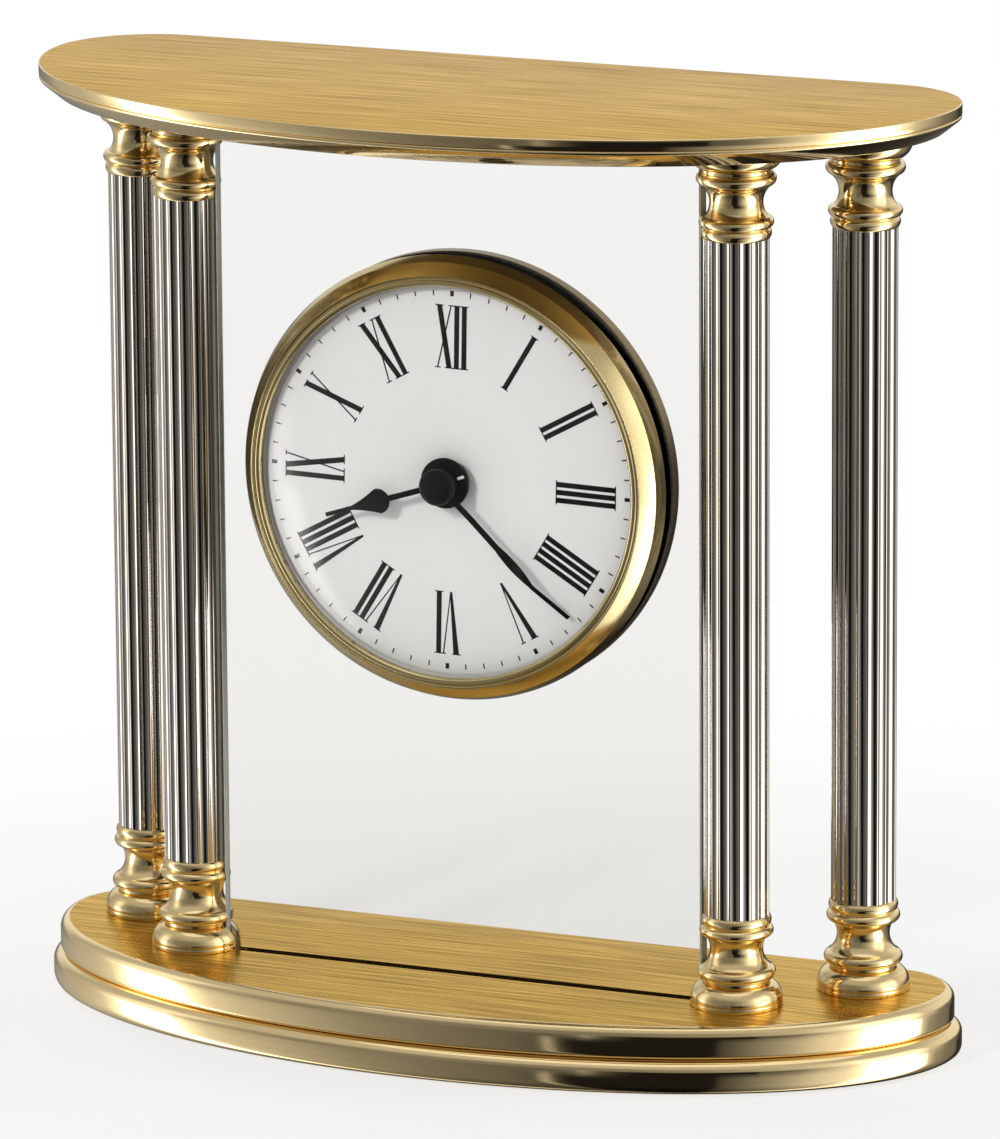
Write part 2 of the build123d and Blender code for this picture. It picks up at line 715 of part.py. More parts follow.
def movement_rear_housing():
    """Rear half of the movement case, open over the battery and at the switch."""
    shell = rod_y(MOVEMENT_R, 0, DIAL_Z, SPLIT_Y, REAR_PLATE_BACK)
    shell -= rod_y(MOVEMENT_R - MOVEMENT_WALL, 0, DIAL_Z, SPLIT_Y - 1, REAR_PLATE_FRONT)
    for x in (MINUTE_WHEEL_X, ALARM_PINION_X):
        shell -= rod_y(ARBOR_R + RUNNING, x, DIAL_Z, REAR_PLATE_FRONT - 1, REAR_PLATE_BACK + 1)
    for x, z in post_places():
        shell -= rod_y(SCREW_R + HOLE_CLEAR, x, z, REAR_PLATE_FRONT - 1, REAR_PLATE_BACK + 1)
    y0 = REAR_PLATE_FRONT - 1
    y1 = REAR_PLATE_BACK + 1
    half_w = WINDOW_W / 2 - DOOR_MARGIN
    half_h = CELL_R + FIT
    shell -= switch_slot(y0, y1)
    return shell - block(-half_w, half_w, y0, y1, CELL_Z - half_h, CELL_Z + half_h)


def movement_screws():
    screws = []
    for x, z in post_places():
        shank = rod_y(SCREW_R, x, z, REAR_PLATE_BACK - SCREW_LEN, REAR_PLATE_BACK)
        head = rod_y(SCREW_HEAD_R, x, z, REAR_PLATE_BACK, REAR_PLATE_BACK + SCREW_HEAD_H)
        slot = block(x - SCREW_HEAD_R, x + SCREW_HEAD_R, REAR_PLATE_BACK + SCREW_HEAD_H / 2,
                     REAR_PLATE_BACK + SCREW_HEAD_H + 1, z - SCREW_HEAD_R / 8, z + SCREW_HEAD_R / 8)
        screws.append(shank + head - slot)
    return Compound(children=screws)


def dial_nut():
    nut = hexagon_y(DIAL_NUT_FLATS, 0, DIAL_Z, DIAL_FACE, DIAL_FACE - DIAL_NUT_H)
    return nut - rod_y(BUSH_R + PRESS_GAP, 0, DIAL_Z, DIAL_FACE - DIAL_NUT_H - 1, DIAL_FACE + 1)


def battery_cell():
    can = Pos(0, CELL_Y, CELL_Z) * Rot(0, 90, 0) * Cylinder(CELL_R, CELL_LEN)
    nub_x = CELL_LEN / 2 + CELL_NUB_LEN / 2
    return can + Pos(nub_x, CELL_Y, CELL_Z) * Rot(0, 90, 0) * Cylinder(CELL_NUB_R, CELL_NUB_LEN)


def battery_contact(side):
    """Leaf of spring metal that stands at one end of the battery."""
    half = CONTACT_W / 2
    near = contact_x() - CONTACT_T
    return block(side * near, side * contact_x(), PLATE_BACK, CELL_Y + half, CELL_Z - half, CELL_Z + half)


def battery_contact_negative():
    """Leaf with a pressed button that reaches the flat end of the battery."""
    x = -CELL_LEN / 2 - CELL_NUB_LEN / 2
    button = Pos(x, CELL_Y, CELL_Z) * Rot(0, 90, 0) * Cylinder(CELL_NUB_R, CELL_NUB_LEN)
    return battery_contact(-1) + button


def circuit_board():
    y = board_front()
    half = BOARD_W / 2
    z = DIAL_Z + BOARD_UP
    board = block(-half, half, y, y + BOARD_T, z - BOARD_H / 2, z + BOARD_H / 2)
    return board


def stator():
    """Laminated plate under the coil, with the hole for the rotor."""
    half = STATOR_W / 2
    z = DIAL_Z + COIL_UP
    plate = block(-half, half, PLATE_BACK, PLATE_BACK + STATOR_T, z - STATOR_H / 2, z + STATOR_H / 2)
    return plate - rod_y(STATOR_H / 4, -half / 2, z, PLATE_BACK - 1, PLATE_BACK + STATOR_T + 1)


def drive_coil():
    place = Pos(0, coil_y(), DIAL_Z + COIL_UP) * Rot(0, 90, 0)
    return place * Cylinder(COIL_R, COIL_LEN) + place * Cylinder(COIL_CORE_R, COIL_LEN + 2 * COIL_CORE_R)


def buzzer():
    z = DIAL_Z + BUZZER_UP
    back = PLATE_BACK + BUZZER_H
    disc = rod_y(BUZZER_R, BUZZER_X, z, PLATE_BACK, back)
    return disc - rod_y(BUZZER_R / 6, BUZZER_X, z, back - BUZZER_H / 2, back + 1)


def gear_cartridge():
    """Closed cartridge with the rear bearing of the centre arbor."""
    body = rod_y(CARTRIDGE_R, 0, DIAL_Z, CARTRIDGE_Y, REAR_PLATE_FRONT)
    return body - rod_y(ARBOR_R + RUNNING, 0, DIAL_Z, CARTRIDGE_Y - 1, CARTRIDGE_Y + CARTRIDGE_H)


# Wheels, arbors and hands

def minute_arbor():
    """Centre arbor with its cannon pinion, from the cartridge to the cap."""
    front = DIAL_FACE - MINUTE_HAND_RISE - HAND_T - CAP_H / 2
    arbor = rod_y(ARBOR_R, 0, DIAL_Z, front, CARTRIDGE_Y + CARTRIDGE_H - WHEEL_GAP)
    return arbor + gear(CANNON_TEETH, MINUTE_WHEEL_MODULE, 0, DIAL_Z, CANNON_Y, PINION_T, 0)


def minute_wheel():
    """Wheel and pinion on the arbor that carries the setting knob."""
    x = MINUTE_WHEEL_X
    front = DIAL_BACK + MOVEMENT_PLATE_T / 2
    back = COVER_BACK + KNOB_GAP + KNOB_H / 2
    half_tooth = 180 / MINUTE_WHEEL_TEETH
    body = rod_y(ARBOR_R, x, DIAL_Z, front, back)
    body += gear(MINUTE_WHEEL_TEETH, MINUTE_WHEEL_MODULE, x, DIAL_Z, CANNON_Y, PINION_T, 180 + half_tooth)
    pinion_len = CANNON_Y - HOUR_WHEEL_Y
    return body + gear(MINUTE_PINION_TEETH, HOUR_WHEEL_MODULE, x, DIAL_Z, HOUR_WHEEL_Y, pinion_len, 180)


def hour_wheel():
    """Hour wheel on its tube."""
    half_tooth = 180 / HOUR_WHEEL_TEETH
    tube_front = DIAL_FACE - HOUR_HAND_RISE - HAND_T - PRESS_GAP
    wheel = gear(HOUR_WHEEL_TEETH, HOUR_WHEEL_MODULE, 0, DIAL_Z, HOUR_WHEEL_Y, WHEEL_T, half_tooth)
    wheel += rod_y(HOUR_TUBE_R, 0, DIAL_Z, tube_front, HOUR_WHEEL_Y + WHEEL_T)
    return wheel - rod_y(HOUR_TUBE_BORE_R, 0, DIAL_Z, tube_front - 1, HOUR_WHEEL_Y + WHEEL_T + 1)


def alarm_wheel():
    """Alarm wheel on the outermost tube."""
    tube_front = DIAL_FACE - ALARM_DISC_RISE - ALARM_DISC_T
    half_tooth = 180 / ALARM_WHEEL_TEETH
    wheel = gear(ALARM_WHEEL_TEETH, ALARM_MODULE, 0, DIAL_Z, ALARM_WHEEL_Y, WHEEL_T, 180 + half_tooth)
    wheel += rod_y(ALARM_TUBE_R, 0, DIAL_Z, tube_front, ALARM_WHEEL_Y + WHEEL_T)
    return wheel - rod_y(ALARM_TUBE_BORE_R, 0, DIAL_Z, tube_front - 1, ALARM_WHEEL_Y + WHEEL_T + 1)


def alarm_disc():
    front = DIAL_FACE - ALARM_DISC_RISE - ALARM_DISC_T
    return tube_y(ALARM_DISC_R, ALARM_TUBE_R + PRESS_GAP, 0, DIAL_Z, front, DIAL_FACE - ALARM_DISC_RISE)


def alarm_set_arbor():
    """Arbor with the alarm pinion, carrying the alarm knob."""
    x = ALARM_PINION_X
    front = DIAL_BACK + MOVEMENT_PLATE_T / 2
    back = COVER_BACK + KNOB_GAP + KNOB_H / 2
    arbor = rod_y(ARBOR_R, x, DIAL_Z, front, back)
    return arbor + gear(ALARM_PINION_TEETH, ALARM_MODULE, x, DIAL_Z, ALARM_WHEEL_Y, WHEEL_T, 0)


def knob(x):
    """Ribbed setting knob on the end of an arbor."""
    y0 = COVER_BACK + KNOB_GAP
    body = rod_y(KNOB_R, x, DIAL_Z, y0, y0 + KNOB_H)
    for i in range(KNOB_RIBS):
        angle = 2 * pi * i / KNOB_RIBS
        rib_x = x + KNOB_R * cos(angle)
        rib_z = DIAL_Z + KNOB_R * sin(angle)
        body -= rod_y(KNOB_RIB_R, rib_x, rib_z, y0 - 1, y0 + KNOB_H + 1)
    return body - rod_y(ARBOR_R + PRESS_GAP, x, DIAL_Z, y0 - 1, y0 + KNOB_H / 2)


def alarm_switch():
    """Slide button, shown off, at the left end of its slot."""
    z = DIAL_Z + SWITCH_UP
    x0 = -SWITCH_TRAVEL / 2 - SWITCH_W / 2
    x1 = x0 + SWITCH_W
    stem_up = SWITCH_STEM_H / 2
    head_up = SWITCH_KNOB_H / 2
    pad_y = REAR_PLATE_FRONT - RAIL_GAP
    head_y = COVER_BACK + RAIL_GAP
    stem = block(x0, x1, pad_y, head_y, z - stem_up, z + stem_up)
    head = block(x0, x1, head_y, head_y + SWITCH_PROUD, z - head_up, z + head_up)
    pad = block(x0, x1, pad_y - SWITCH_PAD_T, pad_y, z - head_up, z + head_up)
    return stem + head + pad


def lay_hand(outline, angle, y):
    """Turns a flat hand drawn along +Y up onto the dial at an angle, its back at depth y."""
    flat = extrude(outline, HAND_T)
    return Pos(0, y, DIAL_Z) * Rot(0, angle, 0) * Rot(90, 0, 0) * flat


def hour_hand_outline():
    """Spade: a hub, a thin stem, a round shoulder and a drawn-out point."""
    hub_r = HOUR_TUBE_R + 1.1
    stem = 0.9
    shoulder = 0.57 * HOUR_HAND_LEN
    shoulder_r = 2.25
    taper_end = shoulder + 4.6
    tip_w = 0.64
    face = Circle(hub_r)
    face += Pos(0, shoulder / 2) * Rectangle(stem, shoulder)
    face += Pos(0, shoulder) * Circle(shoulder_r)
    waist = (0.45 * shoulder_r, shoulder + 0.55 * (taper_end - shoulder))
    face += make_face([
        Line((-shoulder_r, shoulder), (shoulder_r, shoulder)),
        ThreePointArc((shoulder_r, shoulder), waist, (tip_w / 2, taper_end)),
        Line((tip_w / 2, taper_end), (-tip_w / 2, taper_end)),
        ThreePointArc((-tip_w / 2, taper_end), (-waist[0], waist[1]), (-shoulder_r, shoulder)),
    ])
    face += Pos(0, (shoulder + HOUR_HAND_LEN) / 2) * Rectangle(tip_w, HOUR_HAND_LEN - shoulder)
    return face


def minute_hand_outline():
    """Slender leaf between a thin stem and a straight point."""
    hub_r = ARBOR_R + 1.4
    stem = 0.76
    tip_w = 0.64
    leaf_start = 0.34 * MINUTE_HAND_LEN
    leaf_end = 0.79 * MINUTE_HAND_LEN
    leaf_half_w = 0.95
    leaf_mid = (leaf_start + leaf_end) / 2
    face = Circle(hub_r)
    face += Pos(0, leaf_start / 2) * Rectangle(stem, leaf_start)
    face += make_face([
        Line((-stem / 2, leaf_start), (stem / 2, leaf_start)),
        ThreePointArc((stem / 2, leaf_start), (leaf_half_w, leaf_mid), (tip_w / 2, leaf_end)),
        Line((tip_w / 2, leaf_end), (-tip_w / 2, leaf_end)),
        ThreePointArc((-tip_w / 2, leaf_end), (-leaf_half_w, leaf_mid), (-stem / 2, leaf_start)),
    ])
    face += Pos(0, (leaf_end + MINUTE_HAND_LEN) / 2) * Rectangle(tip_w, MINUTE_HAND_LEN - leaf_end)
    return face


def hour_hand():
    outline = hour_hand_outline() - Circle(HOUR_TUBE_R + PRESS_GAP)
    return lay_hand(outline, HOUR_ANGLE, DIAL_FACE - HOUR_HAND_RISE)


def minute_hand():
    """The outer half bends down towards the dial, under the dome of the lens."""
    outline = minute_hand_outline() - Circle(ARBOR_R + PRESS_GAP)
    reach = 2 * ARBOR_R + 2
    side = make_face(Polyline(
        (0, -reach, 0),
        (0, MINUTE_BEND, 0),
        (0, MINUTE_HAND_LEN, -MINUTE_TIP_DROP),
        (0, MINUTE_HAND_LEN, HAND_T - MINUTE_TIP_DROP),
        (0, MINUTE_BEND, HAND_T),
        (0, -reach, HAND_T),
        close=True,
    ))
    strip = extrude(side, reach, dir=(1, 0, 0), both=True)
    tall = Pos(0, 0, -MINUTE_TIP_DROP - 1) * extrude(outline, MINUTE_TIP_DROP + HAND_T + 2)
    flat = strip & tall
    return Pos(0, DIAL_FACE - MINUTE_HAND_RISE, DIAL_Z) * Rot(0, MINUTE_ANGLE, 0) * Rot(90, 0, 0) * flat


def centre_cap():
    back = DIAL_FACE - MINUTE_HAND_RISE - HAND_T
    front = back - CAP_H
    bore = ARBOR_R + PRESS_GAP
    depth = CAP_H / 2 + PRESS_GAP
    top = front - CAP_DOME
    dome_r = (CAP_R ** 2 + CAP_DOME ** 2) / (2 * CAP_DOME)
    edges = [
        Line((bore, back), (CAP_R, back)),
        Line((CAP_R, back), (CAP_R, front)),
        ThreePointArc((CAP_R, front), (CAP_R / 2, top + dome_drop(CAP_R / 2, dome_r)), (0, top)),
        Line((0, top), (0, back - depth)),
        Line((0, back - depth), (bore, back - depth)),
        Line((bore, back - depth), (bore, back)),
    ]
    return turned_y(edges)


def all_parts():
    """Every node by name."""
    parts = {
        "felt_pad": felt_pad(),
        "base_lower_plate": base_lower_plate(),
        "base_upper_plate": base_upper_plate(),
        "top_lower_plate": top_lower_plate(),
        "top_upper_plate": top_upper_plate(),
        "glass_panel": glass_panel(),
        "panel_cushion_lower": panel_cushion(DECK_Z - DECK_SLOT_DEPTH),
        "panel_cushion_upper": panel_cushion(SOFFIT_Z + TOP_SLOT_DEPTH - CUSHION_T),
        "tie_rod_washers": tie_rod_washers(),
        "tie_rod_nuts": tie_rod_nuts(),
        "bezel": bezel(),
        "lens": lens(),
        "dial": dial(),
        "insert_case": insert_case(),
        "front_gasket": gasket(FLANGE_BACK),
        "rear_gasket": gasket(GLASS_BACK),
        "retaining_ring": retaining_ring(),
        "back_cover": back_cover(),
        "battery_door": battery_door(),
        "movement_front_housing": movement_front_housing(),
        "movement_rear_housing": movement_rear_housing(),
        "movement_screws": movement_screws(),
        "dial_nut": dial_nut(),
        "battery_cell": battery_cell(),
        "battery_contact_positive": battery_contact(1),
        "battery_contact_negative": battery_contact_negative(),
        "circuit_board": circuit_board(),
        "stator": stator(),
        "drive_coil": drive_coil(),
        "buzzer": buzzer(),
        "gear_cartridge": gear_cartridge(),
        "minute_arbor": minute_arbor(),
        "minute_hand": minute_hand(),
        "centre_cap": centre_cap(),
        "minute_wheel": minute_wheel(),
        "time_set_knob": knob(MINUTE_WHEEL_X),
        "hour_wheel": hour_wheel(),
        "hour_hand": hour_hand(),
        "alarm_wheel": alarm_wheel(),
        "alarm_disc": alarm_disc(),
        "alarm_set_arbor": alarm_set_arbor(),
        "alarm_set_knob": knob(ALARM_PINION_X),
        "alarm_switch": alarm_switch(),
    }
    for name, (x, y) in COLUMNS.items():
        parts["column_base_" + name] = column_base(x, y)
        parts["column_tube_" + name] = column_tube(x, y)
        parts["column_capital_" + name] = column_capital(x, y)
        parts["tie_rod_" + name] = tie_rod(x, y)
    return parts


os.makedirs("parts", exist_ok=True)
for node, shape in all_parts().items():
    export_step(shape, f"parts/{node}.step")
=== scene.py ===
"""Looks of a four-column table clock: brass base and top, chrome tubes, glass panel and round alarm insert.

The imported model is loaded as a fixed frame. The pieces that show are worked out here as surfaces on grids of
numbers, in millimetres in the same frame, and each one rides on the body whose node it stands for.
"""
import json
import logging
import math
from abc import ABC, abstractmethod
from dataclasses import dataclass
from enum import Enum
from typing import Iterable, Sequence

import bmesh
import bpy
import numpy as np
from mathutils import Matrix, Vector


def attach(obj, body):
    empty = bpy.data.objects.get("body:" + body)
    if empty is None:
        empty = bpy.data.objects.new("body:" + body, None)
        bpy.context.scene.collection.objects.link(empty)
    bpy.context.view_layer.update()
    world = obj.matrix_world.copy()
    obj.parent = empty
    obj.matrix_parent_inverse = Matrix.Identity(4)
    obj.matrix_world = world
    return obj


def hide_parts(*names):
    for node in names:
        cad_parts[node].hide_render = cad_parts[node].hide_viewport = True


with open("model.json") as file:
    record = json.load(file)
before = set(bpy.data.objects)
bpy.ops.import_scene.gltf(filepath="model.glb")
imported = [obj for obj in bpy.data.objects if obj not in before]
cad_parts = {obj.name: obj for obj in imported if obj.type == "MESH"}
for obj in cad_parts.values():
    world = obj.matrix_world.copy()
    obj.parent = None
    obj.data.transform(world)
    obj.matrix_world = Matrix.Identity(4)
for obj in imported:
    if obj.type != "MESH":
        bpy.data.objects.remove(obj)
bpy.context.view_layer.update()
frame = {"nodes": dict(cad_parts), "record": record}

LOG = logging.getLogger("table_clock")
MADE: dict[str, bpy.types.Material] = {}
Array = np.ndarray
Triple = tuple[float, float, float]
Colour = Triple
Point = tuple[float, float]
Points = tuple[Point, ...]
Socket = bpy.types.NodeSocket
Inputs = dict[str | int, object]

# Values that several sub-assemblies share, lengths in millimetres
MM = 0.001
DIAL_Z = 99.5
DIAL_FACE = -4.4
DECK_Z = 11.9
SOFFIT_Z = 159.9
GROOVE_HALF_D = 1.7
WELDS_PER_MM = 2000.0
HAIR = 1e-6
EASE_SHARE = 0.45
EVEN = (1.0, 1.0, 1.0)
WHITE = (1.0, 1.0, 1.0, 1.0)


class Side(Enum):
    """Which side of the clock a column stands on, seen by someone reading the dial."""

    LEFT = -1
    RIGHT = 1


class Row(Enum):
    """Row of columns: the word used in the node names, and how far out and back its axes stand."""

    FRONT = ("front", 50.15, 0.0)
    BACK = ("back", 66.8, 16.7)

    def __init__(self, word: str, out: float, back: float) -> None:
        """Keeps the three values under their own names."""
        self.word, self.out, self.back = word, out, back


class SlotFace(Enum):
    """Which face of a plate has the groove that holds the glass."""

    NONE = "none"
    TOP = "top"
    BOTTOM = "bottom"


class Axis(Enum):
    """Which axis a piece is turned about."""

    UPRIGHT = "upright"
    INSERT = "insert"


# Finishes

class NodeBoard:
    """Node tree of a material or of the world, with short ways to add nodes and join them."""

    def __init__(self, owner: bpy.types.Material | bpy.types.World) -> None:
        """Switches the owner's nodes on and takes its tree."""
        owner.use_nodes = True
        self.tree = owner.node_tree

    def fill(self, node: bpy.types.Node, inputs: Inputs) -> bpy.types.Node:
        """Fills a node's inputs: a socket is linked, and any other value is written in.

        Args:
            node: Node to fill.
            inputs: Sockets or values against the names or numbers of the inputs.

        Returns:
            The same node.
        """
        for name, value in inputs.items():
            if isinstance(value, Socket):
                self.tree.links.new(value, node.inputs[name])
            else:
                node.inputs[name].default_value = value
        return node

    def own(self, name: str, inputs: Inputs) -> bpy.types.Node:
        """Fills a node that the tree starts with, and gives it back."""
        return self.fill(self.tree.nodes[name], inputs)

    def add(self, kind: str, inputs: Inputs | None = None, **settings: str) -> bpy.types.Node:
        """Adds a node, sets it and fills it.

        Args:
            kind: Kind of node, without the start that all kinds share.
            inputs: Sockets or values against the names or numbers of the inputs.
            settings: Settings of the node itself, such as its operation.

        Returns:
            The new node.
        """
        node = self.tree.nodes.new("ShaderNode" + kind)
        for name, value in settings.items():
            setattr(node, name, value)
        return self.fill(node, inputs or {})

    def ramp(self, value: Socket, **ends: float) -> Socket:
        """Carries a value from one range to another.

        Args:
            value: Socket that gives the value.
            ends: Ends of the two ranges, from_min, from_max, to_min and to_max; one left out is 0 or 1.

        Returns:
            Socket of the result.
        """
        named = {name.replace("_", " ").title(): end for name, end in ends.items()}
        return self.add("MapRange", {"Value": value, **named}).outputs["Result"]

    def tones(self, low: Colour, high: Colour, share: Socket) -> Socket:
        """Mixes two colours.

        Args:
            low: Colour at share 0.
            high: Colour at share 1.
            share: Socket that gives the share.

        Returns:
            Socket of the mixed colour.
        """
        inputs = {"A": (*low, 1.0), "B": (*high, 1.0), "Factor": share}
        return self.add("Mix", inputs, data_type="RGBA").outputs["Result"]

    def either(self, share: Socket, first: Socket, second: Socket) -> Socket:
        """Mixes two shaders: the first at share 0, the second at share 1."""
        return self.add("MixShader", {"Fac": share, 1: first, 2: second}).outputs["Shader"]


@dataclass(frozen=True)
class Dressing(ABC):
    """Anything a piece can be dressed in: a name, and a node material that is built once."""

    name: str

    def material(self) -> bpy.types.Material:
        """Gives the material, and builds it the first time.

        Returns:
            The material of this finish.
        """
        if self.name not in MADE:
            MADE[self.name] = bpy.data.materials.new(self.name + "_finish")
            self.lay_out(NodeBoard(MADE[self.name]))
        return MADE[self.name]

    @abstractmethod
    def lay_out(self, board: NodeBoard) -> None:
        """Lays out the nodes on a board; each kind of finish has its own way."""


@dataclass(frozen=True)
class Finish(Dressing):
    """Two tones mixed by a grain, with roughness and relief from the same grain.

    The grain is noise on the piece's own coordinates, stretched along the working direction, and mixed with a
    slow noise that stands for handling and wear.
    """

    low: Colour
    high: Colour
    metallic: float
    rough: Point
    grain: float
    stretch: Triple
    slow: float
    relief: float
    depth_mm: float
    specular: float = 0.5
    wear: float = 0.3
    edge: Colour = EVEN
    fine_detail: float = 4.0
    slow_detail: float = 2.0
    spread: Point = (0.32, 0.68)

    def lay_out(self, board: NodeBoard) -> None:
        """Lays out the grain, then the tones, the roughness and the relief that follow it.

        Args:
            board: Node tree of the material.
        """
        place = board.add("TexCoord").outputs["Object"]
        along = board.add("Mapping", {"Vector": place, "Scale": self.stretch}).outputs["Vector"]
        grain = {"Vector": along, "Scale": self.grain, "Detail": self.fine_detail}
        handling = {"Vector": place, "Scale": self.slow, "Detail": self.slow_detail}
        fine = board.add("TexNoise", grain).outputs["Fac"]
        slow = board.add("TexNoise", handling).outputs["Fac"]
        blend = board.add("Mix", {"Factor": self.wear, "A": fine, "B": slow}).outputs["Result"]
        spread = board.ramp(blend, from_min=self.spread[0], from_max=self.spread[1])
        relief = {"Strength": self.relief, "Distance": self.depth_mm * MM, "Height": fine}
        board.own("Principled BSDF", {
            "Metallic": self.metallic,
            "Specular IOR Level": self.specular,
            "Specular Tint": (*self.edge, 1.0),
            "Base Color": board.tones(self.low, self.high, spread),
            "Roughness": board.ramp(spread, to_min=self.rough[1], to_max=self.rough[0]),
            "Normal": board.add("Bump", relief).outputs["Normal"],
        })


@dataclass(frozen=True)
class GlassFinish(Dressing):
    """Clear glass that lets lamplight through, with a faint tint that deepens towards the foot."""

    tint_low: Colour
    tint_high: Colour
    z_low: float
    z_high: float
    ior: float = 1.5
    smear: float = 40.0
    smear_rough: float = 0.012
    shade: Colour = (0.95, 0.95, 0.94)

    def lay_out(self, board: NodeBoard) -> None:
        """Lays out the glass, with faint smears, and the clear shader that lamplight meets instead.

        Args:
            board: Node tree of the material.
        """
        place = board.add("TexCoord").outputs["Object"]
        height = board.add("SeparateXYZ", {"Vector": place}).outputs["Z"]
        share = board.ramp(height, from_min=self.z_low * MM, from_max=self.z_high * MM)
        smear = board.add("TexNoise", {"Vector": place, "Scale": self.smear}).outputs["Fac"]
        glass = board.own("Principled BSDF", {
            "Transmission Weight": 1.0,
            "IOR": self.ior,
            "Base Color": board.tones(self.tint_low, self.tint_high, share),
            "Roughness": board.ramp(smear, to_min=0.0, to_max=self.smear_rough),
        })
        clear = board.add("BsdfTransparent", {"Color": (*self.shade, 1.0)})
        lamplight = board.add("LightPath").outputs["Is Shadow Ray"]
        surface = board.either(lamplight, glass.outputs["BSDF"], clear.outputs["BSDF"])
        board.own("Material Output", {"Surface": surface})


# Each in the order of its fields: name, tones, metal, roughness, grain, stretch, slow noise, relief, depth.
# The two glasses have their name, two tints, the heights of these in mm, and the lens its own refraction
BRUSHED_BRASS = Finish("brushed_brass", (0.37, 0.238, 0.069), (0.97, 0.635, 0.197), 1.0, (0.2, 0.34), 2200.0,
                       (0.018, 1.0, 1.0), 30.0, 1.0, 0.045, wear=0.0, edge=(1.0, 0.86, 0.58))
DULL_BRASS = Finish("dull_brass", (0.30, 0.205, 0.085), (0.42, 0.30, 0.13), 1.0, (0.36, 0.5), 1400.0,
                    (0.05, 1.0, 1.0), 40.0, 0.3, 0.012)
POLISHED_BRASS = Finish("polished_brass", (0.89, 0.68, 0.35), (0.97, 0.76, 0.415), 1.0, (0.05, 0.10), 2600.0,
                        EVEN, 90.0, 0.04, 0.003)
TURNED_BRASS = Finish("turned_brass", (0.80, 0.595, 0.285), (0.95, 0.745, 0.395), 1.0, (0.08, 0.19), 2600.0,
                      (0.03, 0.03, 1.0), 90.0, 0.45, 0.007, wear=0.15)
SPUN_BRASS = Finish("spun_brass", (0.66, 0.52, 0.25), (0.78, 0.635, 0.33), 1.0, (0.10, 0.19), 3000.0,
                    EVEN, 120.0, 0.1, 0.005)
# Brass darkened as painted shade, for the clamp ring that sits behind the glass
SHADED_BRASS = Finish("shaded_brass", (0.22, 0.165, 0.08), (0.31, 0.235, 0.115), 1.0, (0.2, 0.32), 2600.0,
                      EVEN, 120.0, 0.1, 0.005)
# Chrome's own grey with a warm brown cast mixed in as a painted reflection of the brass around the tubes
CHROME_WITH_BRASS_CAST = Finish("chrome_with_brass_cast", (0.40, 0.365, 0.315), (0.50, 0.465, 0.415), 1.0, (0.02, 0.05), 2400.0,
                (1.0, 1.0, 0.03), 80.0, 0.02, 0.003)
GROUND_EDGE = Finish("ground_edge", (0.52, 0.53, 0.46), (0.66, 0.67, 0.60), 0.0, (0.5, 0.7), 1600.0,
                     EVEN, 60.0, 0.2, 0.01, specular=0.3)
PANEL_GLASS = GlassFinish("panel_glass", (0.90, 0.895, 0.86), (0.955, 0.95, 0.935), 12.0, 160.0)
LENS_GLASS = GlassFinish("lens_glass", (0.985, 0.995, 0.985), (0.99, 0.995, 0.99), 66.0, 133.0, 1.26)
DIAL_WHITE = Finish("dial_white", (0.755, 0.735, 0.725), (0.79, 0.775, 0.765), 0.0, (0.45, 0.6), 2500.0,
                    EVEN, 30.0, 0.05, 0.004)
DIAL_INK = Finish("dial_ink", (0.005, 0.005, 0.006), (0.012, 0.012, 0.013), 0.0, (0.45, 0.6), 3000.0,
                  EVEN, 200.0, 0.1, 0.004, specular=0.2)
MARK_WHITE = Finish("mark_white", (0.7, 0.7, 0.68), (0.8, 0.8, 0.78), 0.0, (0.4, 0.5), 3000.0,
                    EVEN, 200.0, 0.1, 0.004)
HAND_BLACK = Finish("hand_black", (0.003, 0.003, 0.003), (0.009, 0.009, 0.009), 0.0, (0.28, 0.42), 2200.0,
                    EVEN, 150.0, 0.2, 0.01, specular=0.15)
CASE_BLACK = Finish("case_black", (0.022, 0.022, 0.023), (0.045, 0.044, 0.043), 0.0, (0.34, 0.5), 1800.0,
                    EVEN, 90.0, 0.3, 0.02)
BLACK_RUBBER = Finish("black_rubber", (0.012, 0.012, 0.012), (0.03, 0.03, 0.03), 0.0, (0.65, 0.85), 1500.0,
                      EVEN, 120.0, 0.35, 0.03)
BASE_FELT = Finish("base_felt", (0.006, 0.014, 0.010), (0.03, 0.05, 0.038), 0.0, (0.9, 1.0), 2600.0,
                   EVEN, 150.0, 0.9, 0.12, specular=0.2)
PLATED_STEEL = Finish("plated_steel", (0.42, 0.42, 0.42), (0.58, 0.57, 0.55), 1.0, (0.22, 0.35), 1600.0,
                      (1.0, 1.0, 0.2), 70.0, 0.2, 0.01)
MOVEMENT_PLASTIC = Finish("movement_plastic", (0.42, 0.41, 0.37), (0.52, 0.51, 0.47), 0.0, (0.4, 0.55),
                          1500.0, EVEN, 80.0, 0.25, 0.02)
GEAR_BRASS = Finish("gear_brass", (0.50, 0.33, 0.10), (0.64, 0.45, 0.17), 1.0, (0.2, 0.32), 2400.0,
                    EVEN, 150.0, 0.15, 0.008)
BOARD_GREEN = Finish("board_green", (0.010, 0.075, 0.030), (0.03, 0.13, 0.055), 0.0, (0.3, 0.45), 900.0,
                     EVEN, 300.0, 0.2, 0.01)
COIL_COPPER = Finish("coil_copper", (0.40, 0.14, 0.06), (0.62, 0.26, 0.12), 1.0, (0.25, 0.4), 3000.0,
                     (1.0, 0.05, 0.05), 120.0, 0.6, 0.04)
CELL_WRAP = Finish("cell_wrap", (0.30, 0.22, 0.06), (0.44, 0.34, 0.12), 0.4, (0.25, 0.35), 1200.0,
                   EVEN, 60.0, 0.08, 0.01)

